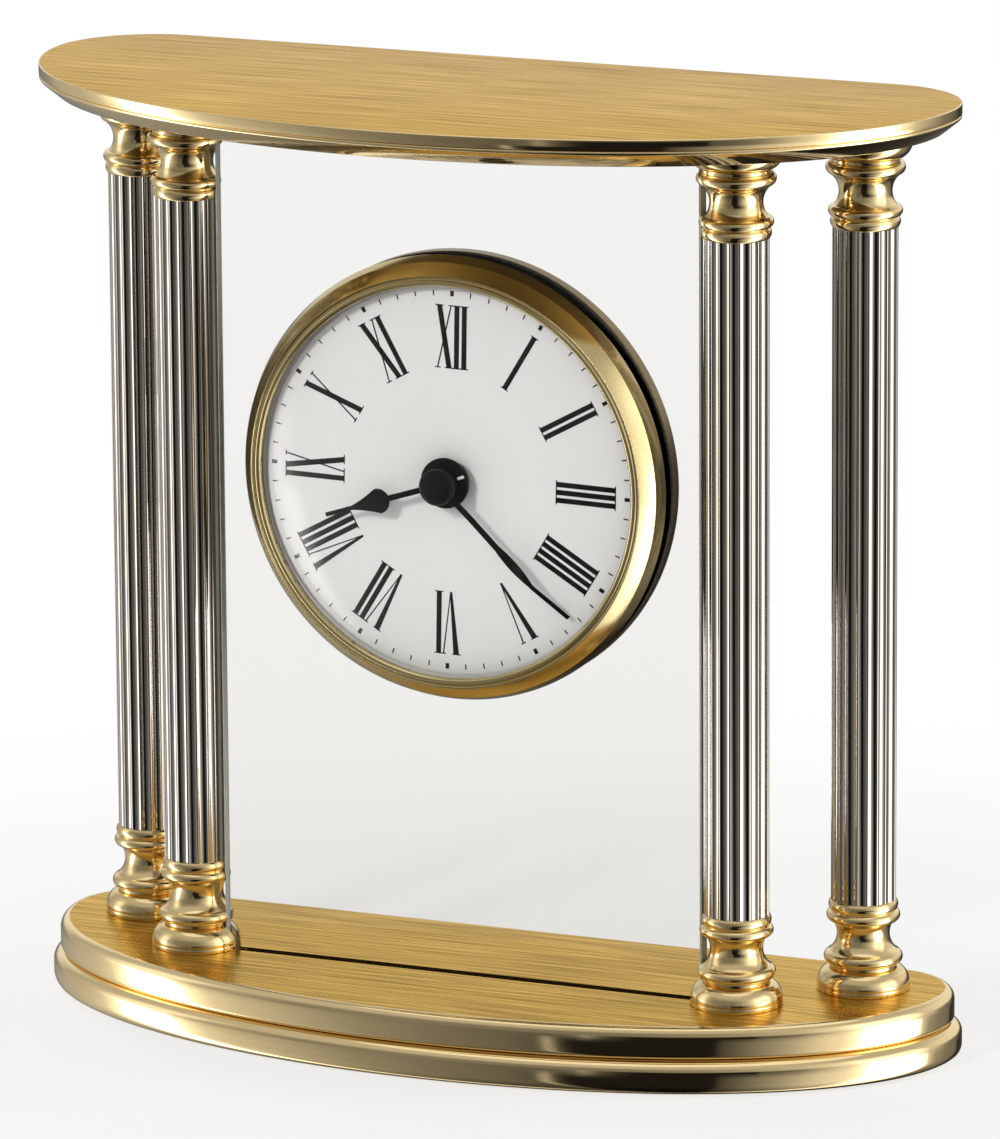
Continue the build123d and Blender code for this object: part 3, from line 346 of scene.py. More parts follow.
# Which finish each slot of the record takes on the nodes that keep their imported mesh
SLOT_FINISH: dict[str, Dressing] = {
    "brass_plate": BRUSHED_BRASS, "polished_brass": POLISHED_BRASS, "chrome_tube": CHROME_WITH_BRASS_CAST,
    "panel_glass": PANEL_GLASS, "lens_glass": LENS_GLASS, "dial_white": DIAL_WHITE, "hand_black": HAND_BLACK,
    "case_black": CASE_BLACK, "black_rubber": BLACK_RUBBER, "base_felt": BASE_FELT,
    "plated_steel": PLATED_STEEL, "movement_plastic": MOVEMENT_PLASTIC, "gear_brass": GEAR_BRASS,
    "board_green": BOARD_GREEN, "coil_copper": COIL_COPPER, "cell_wrap": CELL_WRAP,
}

# Nodes that are blackened although their slot is not black; the brass dial nut is black as painted shade under
# the alarm disc
NODE_FINISH: dict[str, Dressing] = {"dial_nut": HAND_BLACK, "movement_front_housing": CASE_BLACK}


# Profiles and shells

def arc_through(start: Point, middle: Point, end: Point, steps: int) -> Array:
    """Points along the circle through three points.

    The centre solves equal squared distance to the three points, and the angle runs evenly from start to end,
    past middle.

    Args:
        start: First point.
        middle: A point between.
        end: Last point.
        steps: How many points to give.

    Returns:
        An array of points, one per row.
    """
    a, m, b = (np.asarray(p, float) for p in (start, middle, end))
    system = 2.0 * np.array([m - a, b - a])
    centre = np.linalg.solve(system, np.array([m @ m - a @ a, b @ b - a @ a]))
    spokes = np.array([a, m, b]) - centre
    angles = np.unwrap(np.arctan2(spokes[:, 1], spokes[:, 0]))
    sweep = np.linspace(angles[0], angles[2], steps)
    return centre + np.linalg.norm(spokes[0]) * np.column_stack([np.cos(sweep), np.sin(sweep)])


def quarter(corner: Point, start: Point, end: Point, steps: int) -> Array:
    """Quarter ellipse from start to end that rounds off a square corner.

    With t from 0 to a right angle, a point is
    corner + (1 - sin t)(start - corner) + (1 - cos t)(end - corner).

    Args:
        corner: The square corner that is rounded off.
        start: Where the rounding starts.
        end: Where it ends.
        steps: How many points to give.

    Returns:
        An array of points, one per row.
    """
    c, a, b = (np.asarray(p, float) for p in (corner, start, end))
    t = np.linspace(0.0, math.pi / 2, steps)[:, None]
    return c + (1.0 - np.sin(t)) * (a - c) + (1.0 - np.cos(t)) * (b - c)


def eased(points: Iterable[Point], radius: float, steps: int) -> Array:
    """Closed polygon with each corner replaced by a small parabola.

    The parabola leaves and meets the sides at the given distance from the corner, or at a fixed share of a
    shorter side.

    Args:
        points: Corners in order.
        radius: Distance from a corner at which the easing starts.
        steps: Points per corner.

    Returns:
        The eased polygon, one point per row.
    """
    p = np.asarray(list(points), float)
    before, after = np.roll(p, 1, axis=0) - p, np.roll(p, -1, axis=0) - p
    long_b = np.linalg.norm(before, axis=1, keepdims=True)
    long_a = np.linalg.norm(after, axis=1, keepdims=True)
    a = (p + before / long_b * np.minimum(radius, EASE_SHARE * long_b))[:, None]
    b = (p + after / long_a * np.minimum(radius, EASE_SHARE * long_a))[:, None]
    s = np.linspace(0.0, 1.0, steps)[None, :, None]
    return ((1 - s) ** 2 * a + 2 * s * (1 - s) * p[:, None] + s ** 2 * b).reshape(-1, 2)


class Shell:
    """Grids of points in millimetres, gathered into one closed mesh with welded seams."""

    def __init__(self) -> None:
        """Starts with no points."""
        self._points: list[Array] = []
        self._faces: list[Array] = []
        self._marks: list[Array] = []
        self._count = 0

    def _add(self, points: Array, quads: Array, mark: int) -> "Shell":
        """Keeps points and the faces between them.

        Args:
            points: Points, with x, y and z last.
            quads: Faces as four point numbers per row, counted from 0.
            mark: Number of the finish on these faces.

        Returns:
            This shell.
        """
        self._points.append(points.reshape(-1, 3))
        self._faces.append(quads + self._count)
        self._marks.append(np.full(len(quads), mark))
        self._count += points.size // 3
        return self

    def grid(self, points: Array, wrap_u: bool = False, wrap_v: bool = False, mark: int = 0,
             keep: Array | None = None) -> "Shell":
        """Adds a surface given on a grid of two parameters.

        Args:
            points: Rows by columns by three.
            wrap_u: Whether the last row joins the first.
            wrap_v: Whether the last column joins the first.
            mark: Number of the finish on these faces.
            keep: Which cells of the grid are faces, all if left out.

        Returns:
            This shell.
        """
        index = np.arange(points.size // 3).reshape(points.shape[:2])
        if wrap_u:
            index = np.vstack([index, index[:1]])
        if wrap_v:
            index = np.hstack([index, index[:, :1]])
        quads = np.stack([index[:-1, :-1], index[:-1, 1:], index[1:, 1:], index[1:, :-1]], axis=-1)
        return self._add(points, quads.reshape(-1, 4) if keep is None else quads[keep], mark)

    def turned(self, profile: Array, axis: Axis, steps: int, centre: Point = (0.0, 0.0),
               loop: bool = True) -> "Shell":
        """Adds a turned surface: a profile point (r, h) goes round at r cos t, r sin t and height h.

        Args:
            profile: Radius and height, one point per row.
            axis: Axis that it is turned about.
            steps: Points round the axis.
            centre: Where an upright axis stands, as x and y.
            loop: Whether the profile closes on itself; if not, it starts and ends on the axis.

        Returns:
            This shell.
        """
        t = np.linspace(0.0, 2 * math.pi, steps, endpoint=False)[None]
        r, h = profile[:, :1], profile[:, 1:2] + 0.0 * t
        if axis is Axis.UPRIGHT:
            points = np.stack([centre[0] + r * np.cos(t), centre[1] + r * np.sin(t), h], axis=-1)
        else:
            points = np.stack([r * np.cos(t), h, DIAL_Z + r * np.sin(t)], axis=-1)
        return self.grid(points, wrap_u=loop, wrap_v=True)

    def prisms(self, outlines: Array, y_back: float, y_front: float, mark: int = 0) -> "Shell":
        """Adds flat four-cornered strokes on the dial as thin closed prisms between two planes.

        Args:
            outlines: Strokes by four corners by two, as x and height over the dial's centre.
            y_back: Plane that the strokes start from.
            y_front: Plane of their faces.
            mark: Number of the finish.

        Returns:
            This shell.
        """
        x, z = outlines[..., 0], outlines[..., 1] + DIAL_Z
        ends = [np.stack([x, np.full_like(x, y), z], axis=-1) for y in (y_back, y_front)]
        box = np.array([[0, 1, 2, 3], [7, 6, 5, 4], [0, 4, 5, 1], [1, 5, 6, 2], [2, 6, 7, 3], [3, 7, 4, 0]])
        quads = (np.arange(len(outlines))[:, None, None] * 8 + box[None]).reshape(-1, 4)
        return self._add(np.concatenate(ends, axis=1), quads, mark)

    def mesh(self, name: str, sharp: float) -> bpy.types.Mesh:
        """Welds the grids, drops collapsed faces and turns the faces outwards.

        Args:
            name: Name of the mesh.
            sharp: Angle in degrees above which an edge stays crisp.

        Returns:
            The finished mesh, in metres.
        """
        faces, marks = np.vstack(self._faces), np.concatenate(self._marks)
        points = np.vstack(self._points)
        key = np.round(points * WELDS_PER_MM).astype(np.int64)
        _, first, where = np.unique(key, axis=0, return_index=True, return_inverse=True)
        points, faces = points[first] * MM, where.reshape(-1)[faces]
        same = faces == np.roll(faces, -1, axis=1)
        folded = (faces[:, 0] == faces[:, 2]) | (faces[:, 1] == faces[:, 3])
        whole = ~same.any(axis=1) & ~folded
        three = (same.sum(axis=1) == 1) & ~folded
        corners = faces[three][~same[three]].reshape(-1, 3)
        mesh = bpy.data.meshes.new(name)
        mesh.from_pydata(points.tolist(), [], faces[whole].tolist() + corners.tolist())
        numbers = np.concatenate([marks[whole], marks[three]]).astype(np.int32)
        mesh.polygons.foreach_set("material_index", numbers)
        work = bmesh.new()
        work.from_mesh(mesh)
        bmesh.ops.recalc_face_normals(work, faces=work.faces)
        work.to_mesh(mesh)
        work.free()
        mesh.shade_smooth()
        mesh.set_sharp_from_angle(angle=math.radians(sharp))
        return mesh

    def piece(self, name: str, body: str, slot: str, finishes: Sequence[Dressing],
              replaces: Sequence[str] = (), sharp: float = 32.0) -> bpy.types.Object:
        """Makes the shell an object that rides on a body and takes its finishes.

        Args:
            name: Name of the piece.
            body: Body that carries it.
            slot: Slot of the record that its finish belongs to; not used.
            finishes: Finishes in the order of the marks.
            replaces: Nodes that this piece stands for.
            sharp: Angle in degrees above which an edge stays crisp.

        Returns:
            The new object.
        """
        obj = bpy.data.objects.new(name, self.mesh(name, sharp))
        for finish in finishes:
            obj.data.materials.append(finish.material())
        bpy.context.scene.collection.objects.link(obj)
        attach(obj, body)
        if replaces:
            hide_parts(*replaces)
        LOG.info("%s: %d faces on %s", name, len(obj.data.polygons), body)
        return obj


def eased_ring(corners: Iterable[Point], ease: float, corner_steps: int, steps: int) -> Shell:
    """Ring of the insert: a section with eased corners, turned about the insert's axis.

    Args:
        corners: Corners of the section, as radius and y.
        ease: Distance from a corner at which the easing starts.
        corner_steps: Points per corner.
        steps: Points round the axis.

    Returns:
        The ring's shell.
    """
    return Shell().turned(eased(corners, ease, corner_steps), Axis.INSERT, steps=steps)


def block(low: Sequence[float], high: Sequence[float]) -> Shell:
    """Plain block: a square ring of four corners carried from one end to the other, closed at both.

    Args:
        low: Lowest corner.
        high: Highest corner.

    Returns:
        The block's shell.
    """
    (x0, y0, z0), (x1, y1, z1) = low, high
    ring = np.array([(x0, y0), (x1, y0), (x1, y1), (x0, y1)])
    middle = ring.mean(axis=0, keepdims=True).repeat(4, axis=0)
    layers = [(middle, z0), (ring, z0), (ring, z1), (middle, z1)]
    points = np.stack([np.column_stack([xy, np.full(4, z)]) for xy, z in layers])
    return Shell().grid(points, wrap_v=True)


def notch(obj: bpy.types.Object, low: Sequence[float], high: Sequence[float], sharp: float) -> None:
    """Cuts a block-shaped slot out of a piece and keeps the result as its mesh.

    Args:
        obj: Piece to cut.
        low: Lowest corner of the slot in millimetres.
        high: Highest corner of the slot.
        sharp: Angle in degrees above which an edge stays crisp.
    """
    cutter = bpy.data.objects.new("slot_cutter", block(low, high).mesh("slot_cutter", sharp))
    bpy.context.scene.collection.objects.link(cutter)
    cut = obj.modifiers.new("slot", "BOOLEAN")
    cut.operation, cut.solver, cut.object = "DIFFERENCE", "EXACT", cutter
    graph = bpy.context.evaluated_depsgraph_get()
    mesh = bpy.data.meshes.new_from_object(obj.evaluated_get(graph))
    obj.modifiers.clear()
    old, obj.data = obj.data, mesh
    mesh.name = obj.name
    mesh.set_sharp_from_angle(angle=math.radians(sharp))
    bpy.data.meshes.remove(old)
    spare = cutter.data
    bpy.data.objects.remove(cutter)
    bpy.data.meshes.remove(spare)


# Stand

@dataclass(frozen=True)
class BowedPlan:
    """Outline of a plate: half an ellipse in front, round rear corners and a straight back."""

    half_w: float
    bow: float
    shoulder: float
    corner: float

    def edges(self, grow: Sequence[float], turn: Array) -> tuple[Array, Array, Array]:
        """Front and back edge at the same stations along x.

        The station is x = (half_w + g) cos t. In front y = shoulder - (bow + g) sin t. Behind, y is shoulder
        plus the height of the corner circle of radius corner + g over that station, and plus its full radius
        between the corners.

        Args:
            grow: How far each ring stands out from the plan.
            turn: Angles t from pi, the left end, to 0, the right end.

        Returns:
            x, front y and back y, each rings by stations.
        """
        g, t = np.asarray(grow, float)[:, None], np.asarray(turn, float)[None]
        x = (self.half_w + g) * np.cos(t)
        front = self.shoulder - (self.bow + g) * np.sin(t)
        over = np.clip(np.abs(x) - (self.half_w - self.corner), 0.0, None)
        back = self.shoulder + np.sqrt(np.clip((self.corner + g) ** 2 - over ** 2, 0.0, None))
        return x, front, back


@dataclass
class Plate:
    """One plate of the base or top: an edge profile carried round a bowed plan, closed by two flat faces."""

    name: str
    plan: BowedPlan
    profile: Array
    slot_face: SlotFace = SlotFace.NONE
    slot_half_w: float = 44.5
    slot_deep: float = 3.6
    stations: int = 220

    def turns(self, grow: float) -> Array:
        """Even angles from the left end to the right, with two more where the groove ends.

        Args:
            grow: How far the grooved face stands out from the plan.

        Returns:
            Angles, falling.
        """
        t = np.linspace(math.pi, 0.0, self.stations + 1)
        end = math.acos(self.slot_half_w / (self.plan.half_w + grow))
        return np.unique(np.concatenate([t, [end, math.pi - end]]))[::-1]

    def face(self, shell: Shell, ring: int, turn: Array, grooved: bool) -> None:
        """Adds a flat face between the front and back edge of a ring, with the groove open if it has one.

        Across the face, rows run from the front edge over the two sides of the groove to the back edge.
        Beyond the groove's ends the two middle rows keep the same shares of the depth.

        Args:
            shell: Shell to add to.
            ring: Which ring of the profile the face closes.
            turn: Angles of the stations.
            grooved: Whether the groove for the glass is cut here.
        """
        grow, z = self.profile[ring]
        x, front, back = (v[0] for v in self.plan.edges([grow], turn))
        inside = np.abs(x) <= self.slot_half_w + HAIR
        at_end = np.flatnonzero(inside)[0]
        depth = back - front
        rows = [front]
        for y in (-GROOVE_HALF_D, GROOVE_HALF_D):
            share = (y - front[at_end]) / depth[at_end]
            rows.append(np.where(inside, y, front + share * depth))
        rows.append(back)
        y = np.stack(rows)
        points = np.stack([np.broadcast_to(x, y.shape), y, np.full_like(y, z)], axis=-1)
        keep = np.ones((3, len(x) - 1), bool)
        if grooved:
            keep[1] = ~(inside[:-1] & inside[1:])
        shell.grid(points, mark=1, keep=keep)
        if grooved:
            self.groove(shell, x[inside], z)

    def groove(self, shell: Shell, x: Array, z: float) -> None:
        """Adds the walls and floor of the groove: its sides go straight in from the face by its depth.

        Args:
            shell: Shell to add to.
            x: Stations along the groove.
            z: Height of the face.
        """
        floor = z + self.slot_deep * (1.0 if self.slot_face is SlotFace.BOTTOM else -1.0)
        d = GROOVE_HALF_D
        rows = [(-d, z), (-d, floor), (d, floor), (d, z)]
        shell.grid(np.stack([np.column_stack([x, np.full_like(x, y), np.full_like(x, h)]) for y, h in rows]))
        for end in (x[0], x[-1]):
            shell.grid(np.array([[(end, -d, z), (end, d, z)], [(end, -d, floor), (end, d, floor)]]))

    def build(self, faces: Finish, edge: Finish) -> None:
        """Builds the plate.

        Args:
            faces: Finish of the flat faces.
            edge: Finish of the worked edge.
        """
        grooved = 0 if self.slot_face is SlotFace.BOTTOM else -1
        turn = self.turns(self.profile[grooved, 0])
        x, front, back = self.plan.edges(self.profile[:, 0], turn)
        x = np.hstack([x, x[:, -2:0:-1]])
        y = np.hstack([front, back[:, -2:0:-1]])
        z = np.broadcast_to(self.profile[:, 1:2], x.shape)
        shell = Shell().grid(np.stack([x, y, z], axis=-1), wrap_v=True)
        self.face(shell, 0, turn, self.slot_face is SlotFace.BOTTOM)
        self.face(shell, -1, turn, self.slot_face is SlotFace.TOP)
        shell.piece(self.name + "_worked", "stand", "brass_plate", [edge, faces], [self.name], sharp=25.0)


@dataclass
class Base:
    """Two-tier bowed base with a groove for the glass in its deck."""

    plan: BowedPlan = BowedPlan(80.7, 42.1, 17.4, 11.7)
    foot_z: float = 0.5
    step_z: float = 6.3
    lower_out: float = 2.9
    lower_foot: Point = (1.25, 1.875)
    lower_brow: Point = (2.5, 2.0)
    upper_out: float = 1.6
    upper_roll: float = 1.9
    upper_foot: Point = (0.9, 1.0)
    felt_in: float = 6.8
    felt_deep: float = 0.75

    def lower_tier(self) -> Plate:
        """Lower tier: an upright edge, rounded above and drawn in a little below, over a shallow recess.

        Returns:
            The plate, ready to build.
        """
        out, z0, z1 = self.lower_out, self.foot_z, self.step_z
        foot_in, foot_up = self.lower_foot
        brow_in, brow_down = self.lower_brow
        recess = [(-self.felt_in, z0 + self.felt_deep), (-self.felt_in, z0)]
        under = quarter((out, z0), (out - foot_in, z0), (out, z0 + foot_up), 12)
        over = quarter((out, z1), (out, z1 - brow_down), (out - brow_in, z1), 14)
        return Plate("base_lower_plate", self.plan, np.vstack([recess, under, over]))

    def upper_tier(self) -> Plate:
        """Upper tier: an upright edge that rolls over into the deck and turns in over the lower tier.

        Returns:
            The plate, ready to build.
        """
        out, z0 = self.upper_out, self.step_z
        across, up = self.upper_foot
        foot = quarter((out, z0), (out - across, z0), (out, z0 + up), 8)
        roll = quarter((out, DECK_Z), (out, DECK_Z - self.upper_roll), (0.0, DECK_Z), 14)
        return Plate("base_upper_plate", self.plan, np.vstack([foot, roll]), SlotFace.TOP)

    def build(self) -> None:
        """Builds both tiers."""
        self.lower_tier().build(DULL_BRASS, POLISHED_BRASS)
        self.upper_tier().build(BRUSHED_BRASS, POLISHED_BRASS)


@dataclass
class Top:
    """Bowed top: a thin plate over an undercut one that holds the upper edge of the glass."""

    plan: BowedPlan = BowedPlan(82.5, 52.5, 17.6, 17.3)
    joint_z: float = 163.1
    top_z: float = 165.0
    lower_in: float = 0.05
    undercut_in: float = 3.2
    undercut_high: float = 2.6
    slope_ease: Point = (0.2, 0.186)
    bead_low: float = 0.15
    bead_high: float = 0.2
    bead_in: float = 0.4
    edge_ease: float = 0.1
    slot_deep: float = 2.0

    def lower_plate(self) -> Plate:
        """Undercut plate: a sloping face from the soffit out to a narrow bead that is rounded above.

        Returns:
            The plate, ready to build.
        """
        z0, z1, out = SOFFIT_Z, self.joint_z, -self.lower_in
        band = z0 + self.undercut_high
        across, up = self.slope_ease
        foot = out - self.undercut_in
        lead = quarter((foot, z0), (foot - across, z0), (foot + across, z0 + up), 4)
        turn = quarter((out, band), (out - across, band - up), (out, band + self.bead_low), 4)
        rim = quarter((out, z1), (out, band + self.bead_high), (out - self.bead_in, z1), 8)
        profile = np.vstack([lead, turn, rim])
        return Plate("top_lower_plate", self.plan, profile, SlotFace.BOTTOM, slot_deep=self.slot_deep)

    def upper_plate(self) -> Plate:
        """Thin plate with an upright polished edge and a fine rounding above.

        Returns:
            The plate, ready to build.
        """
        z0, z1, r = self.joint_z, self.top_z, self.edge_ease
        under = quarter((0.0, z0), (-r, z0), (0.0, z0 + r), 4)
        over = quarter((0.0, z1), (0.0, z1 - 2 * r), (-2 * r, z1), 6)
        return Plate("top_upper_plate", self.plan, np.vstack([under, over]))

    def build(self) -> None:
        """Builds both plates."""
        self.lower_plate().build(DULL_BRASS, POLISHED_BRASS)
        self.upper_plate().build(BRUSHED_BRASS, POLISHED_BRASS)


@dataclass
class Column:
    """Turned base, fluted tube and turned capital of one column."""

    side: Side
    row: Row
    end_h: float = 15.7
    spigot_h: float = 2.8
    spigot_r: float = 3.5
    rod_r: float = 2.2
    tube_r: float = 5.55
    bore: float = 3.6
    flutes: int = 20
    flute_r: float = 1.5
    flute_at: float = 6.8
    land_rise: float = 0.01
    slot_from: float = 5.65
    slot_to: float = 9.0
    slot_h: float = 21.0
    slot_past: float = 1.0
    end_sharp: float = 28.0
    end_steps: int = 120

    @property
    def label(self) -> str:
        """Words for this column in the node names."""
        return f"{self.row.word}_{self.side.name.lower()}"

    @property
    def place(self) -> Point:
        """Where the axis stands."""
        return self.side.value * self.row.out, self.row.back

    def end_profile(self) -> Array:
        """Turned outline of an end, as radius and height over its foot.

        It runs over foot, ogee, groove, ring, neck and two collars to the spigot, and down the bore again.

        Returns:
            Points, one per row.
        """
        top, spigot_top = self.end_h, self.end_h + self.spigot_h
        return np.vstack([
            quarter((8.0, 0.0), (7.85, 0.0), (8.0, 0.15), 4), (8.0, 0.7),
            arc_through((7.96, 0.8), (7.208, 3.108), (5.8, 4.05), 18), (5.8, 4.45),
            arc_through((5.8, 4.45), (6.75, 5.6), (5.95, 6.7), 18),
            arc_through((5.95, 6.7), (4.52, 9.5), (5.3, 12.0), 24), (5.6, 12.0),
            arc_through((5.6, 12.0), (6.3, 12.95), (5.6, 13.9), 14),
            arc_through((5.6, 13.9), (5.95, 14.8), (5.6, top), 12), (self.spigot_r, top),
            (self.spigot_r, spigot_top), (self.rod_r, spigot_top), (self.rod_r, 0.0),
        ])

    def tube_rim(self) -> tuple[Array, Array]:
        """Radius of the fluted tube against angle.

        Inside a flute the radius is that of the near side of the flute's circle,
        c cos d - sqrt(f^2 - (c sin d)^2), with d the angle from the flute's middle. Between flutes it is the
        tube's own radius.

        Returns:
            Angles and radii round the tube.
        """
        c, f, r = self.flute_at, self.flute_r, self.tube_r
        edge = math.acos((r * r + c * c - f * f) / (2 * r * c))
        d = np.sin(np.linspace(-math.pi / 2, math.pi / 2, 15)) * edge
        near = c * np.cos(d) - np.sqrt(np.clip(f * f - (c * np.sin(d)) ** 2, 0.0, None))
        land = math.pi / self.flutes
        d, near = np.append(d, land), np.append(near, r + self.land_rise)
        starts = np.arange(self.flutes)[:, None] * 2 * land
        return (starts + d[None]).reshape(-1), np.tile(near, self.flutes)

    def tube(self) -> None:
        """Builds the tube: the fluted outline carried straight up, with the bore inside and flat ends."""
        t, r = self.tube_rim()
        z0, z1 = DECK_Z + self.end_h, SOFFIT_Z - self.end_h
        x, y = self.place
        inner = np.full_like(r, self.bore)
        rings = [(r, z0), (r, z1), (inner, z1), (inner, z0)]
        points = np.stack([np.column_stack([x + q * np.cos(t), y + q * np.sin(t), np.full_like(q, z)])
                           for q, z in rings])
        shell = Shell().grid(points, wrap_u=True, wrap_v=True)
        shell.piece(f"fluted_tube_{self.label}", "stand", "chrome_tube", [CHROME_WITH_BRASS_CAST],
                    [f"column_tube_{self.label}"], sharp=50.0)

    def end(self, capital: bool) -> None:
        """Builds the base or, turned upside down, the capital, with a slot where the glass runs in.

        Args:
            capital: Whether it is the capital.
        """
        profile = self.end_profile()
        kind = "capital" if capital else "base"
        profile[:, 1] = SOFFIT_Z - profile[:, 1] if capital else DECK_Z + profile[:, 1]
        shell = Shell().turned(profile, Axis.UPRIGHT, self.end_steps, self.place)
        obj = shell.piece(f"turned_{kind}_{self.label}", "stand", "polished_brass", [TURNED_BRASS],
                          [f"column_{kind}_{self.label}"], self.end_sharp)
        if self.row is Row.FRONT:
            x, way = self.place[0], -self.side.value
            x0, x1 = sorted((x + way * self.slot_from, x + way * self.slot_to))
            z0 = SOFFIT_Z + self.slot_past - self.slot_h if capital else DECK_Z - self.slot_past
            notch(obj, (x0, -GROOVE_HALF_D, z0), (x1, GROOVE_HALF_D, z0 + self.slot_h), self.end_sharp)

    def build(self) -> None:
        """Builds the three pieces."""
        self.tube()
        self.end(False)
        self.end(True)


@dataclass
class GlassPanel:
    """Upright glass sheet with a round hole for the insert."""

    half_w: float = 44.3
    half_t: float = 1.5
    low_z: float = 8.9
    high_z: float = 161.3
    hole_r: float = 33.0
    arris: float = 0.25

    def border(self, t: Array, inset: float) -> Array:
        """Where spokes from the hole's centre meet the rectangle, drawn in by an inset.

        Along a spoke (cos t, sin t) the reach is the least of the distances to the four sides.

        Args:
            t: Spoke angles.
            inset: How far the rectangle is drawn in.

        Returns:
            Points, one per spoke.
        """
        c, s = np.cos(t), np.sin(t)
        with np.errstate(divide="ignore"):
            side = (self.half_w - inset) / np.abs(c)
            end = np.where(s > 0, self.high_z - inset - DIAL_Z, DIAL_Z - self.low_z - inset) / np.abs(s)
        reach = np.minimum(side, end)
        return np.column_stack([reach * c, reach * s])

    def build(self) -> None:
        """Builds the sheet as rings: ground border with fine arrises, back face, hole wall and front face."""
        a, y = self.arris, self.half_t
        up, down = self.high_z - DIAL_Z, self.low_z - DIAL_Z
        corners = [math.atan2(z - math.copysign(q, z), x * (self.half_w - q)) for q in (0.0, a)
                   for z in (up, down) for x in (-1, 1)]
        t = np.unique(np.concatenate([np.linspace(-math.pi, math.pi, 181)[:-1], corners]))
        rim = np.column_stack([np.cos(t), np.sin(t)])
        inner, outer = self.border(t, a), self.border(t, 0.0)
        hole, wide = rim * self.hole_r, rim * (self.hole_r + a)
        rings = [(wide, -y), (inner, -y), (outer, -y + a), (outer, y - a), (inner, y), (wide, y),
                 (hole, y - a), (hole, -y + a)]
        points = np.stack([np.column_stack([p[:, 0], np.full(len(t), d), DIAL_Z + p[:, 1]])
                           for p, d in rings])
        shell = Shell().grid(points[1:5], wrap_v=True, mark=1)
        shell.grid(points[[4, 5, 6, 7, 0, 1]], wrap_v=True)
        finishes = [PANEL_GLASS, GROUND_EDGE]
        shell.piece("clear_panel", "stand", "panel_glass", finishes, ["glass_panel"], sharp=20.0)


# Insert

@dataclass
class Insert:
    """Bezel, rear ring, gasket, lens and dial of the round insert, each a section of radius and y."""

    bezel_corners: Points = (
        (33.9, -6.3), (33.9, -7.05), (34.25, -7.4), (34.75, -7.4), (35.05, -7.1), (35.35, -7.1), (35.6, -7.5),
        (37.7, -5.0), (38.55, -2.6), (38.2, -2.6), (38.2, -3.4), (34.6, -3.4), (34.6, -6.3),
    )
    ring_corners: Points = ((32.6, 2.0), (38.4, 2.0), (38.4, 5.0), (32.6, 5.0))
    gasket_corners: Points = ((33.05, 1.5), (38.3, 1.5), (38.3, 2.0), (33.05, 2.0))
    dial_corners: Points = ((3.3, DIAL_FACE), (34.5, DIAL_FACE), (34.5, -3.9), (3.3, -3.9))
    flange_corners: Points = ((33.5, -4.45), (34.5, -4.45), (34.5, -6.25), (33.8, -6.25))
    lens_apex: float = -13.75
    lens_wall: float = 1.0
    lens_ball: float = 79.5
    lens_inside: float = 33.5
    lens_outside: float = 33.75
    metal_steps: int = 256
    dial_steps: int = 160

    def bezel(self) -> None:
        """Brass bezel: a beaded lip round the lens and two sloping facets."""
        shell = eased_ring(self.bezel_corners, ease=0.14, corner_steps=5, steps=self.metal_steps)
        shell.piece("faceted_bezel", "stand", "polished_brass", [SPUN_BRASS], ["bezel"], sharp=24.0)

    def rear_ring(self) -> None:
        """Brass ring that clamps the insert from behind, with rounded edges."""
        shell = eased_ring(self.ring_corners, ease=0.45, corner_steps=7, steps=self.metal_steps)
        # The ring's brass is darkened as painted shade
        shell.piece("clamp_ring", "stand", "polished_brass", [SHADED_BRASS], ["retaining_ring"], sharp=24.0)

    def rear_gasket(self) -> None:
        """Flat black washer between the glass and the clamp ring."""
        shell = eased_ring(self.gasket_corners, ease=0.12, corner_steps=4, steps=self.metal_steps)
        shell.piece("flat_gasket", "stand", "black_rubber", [BLACK_RUBBER], ["rear_gasket"], sharp=30.0)

    @staticmethod
    def dome(apex: float, ball: float, reach: float) -> Array:
        """Section of a spherical cap: y = apex + ball - sqrt(ball^2 - r^2), from the axis out to its reach.

        Args:
            apex: Place of the middle along y.
            ball: Radius of the sphere.
            reach: Radius at which the cap ends.

        Returns:
            Points, one per row.
        """
        r = np.linspace(0.0, reach, 30)
        return np.column_stack([r, apex + ball - np.sqrt(ball ** 2 - r ** 2)])

    def lens(self) -> None:
        """Domed lens: two spherical caps about one centre, and a flange under the lip of the bezel."""
        inner = self.dome(self.lens_apex + self.lens_wall, self.lens_ball, self.lens_inside)
        outer = self.dome(self.lens_apex, self.lens_ball + self.lens_wall, self.lens_outside)
        profile = np.vstack([inner, self.flange_corners, outer[::-1]])
        shell = Shell().turned(profile, Axis.INSERT, steps=self.dial_steps, loop=False)
        shell.piece("domed_lens", "stand", "lens_glass", [LENS_GLASS], ["lens"], sharp=30.0)

    def dial(self) -> None:
        """Dial disc with a hole for the arbors and a softly rounded rim."""
        shell = eased_ring(self.dial_corners, ease=0.08, corner_steps=3, steps=self.dial_steps)
        shell.piece("dial_plate", "stand", "dial_white", [DIAL_WHITE], ["dial"])

    def build(self) -> None:
        """Builds the five pieces."""
        self.bezel()
        self.rear_ring()
        self.rear_gasket()
        self.lens()
        self.dial()


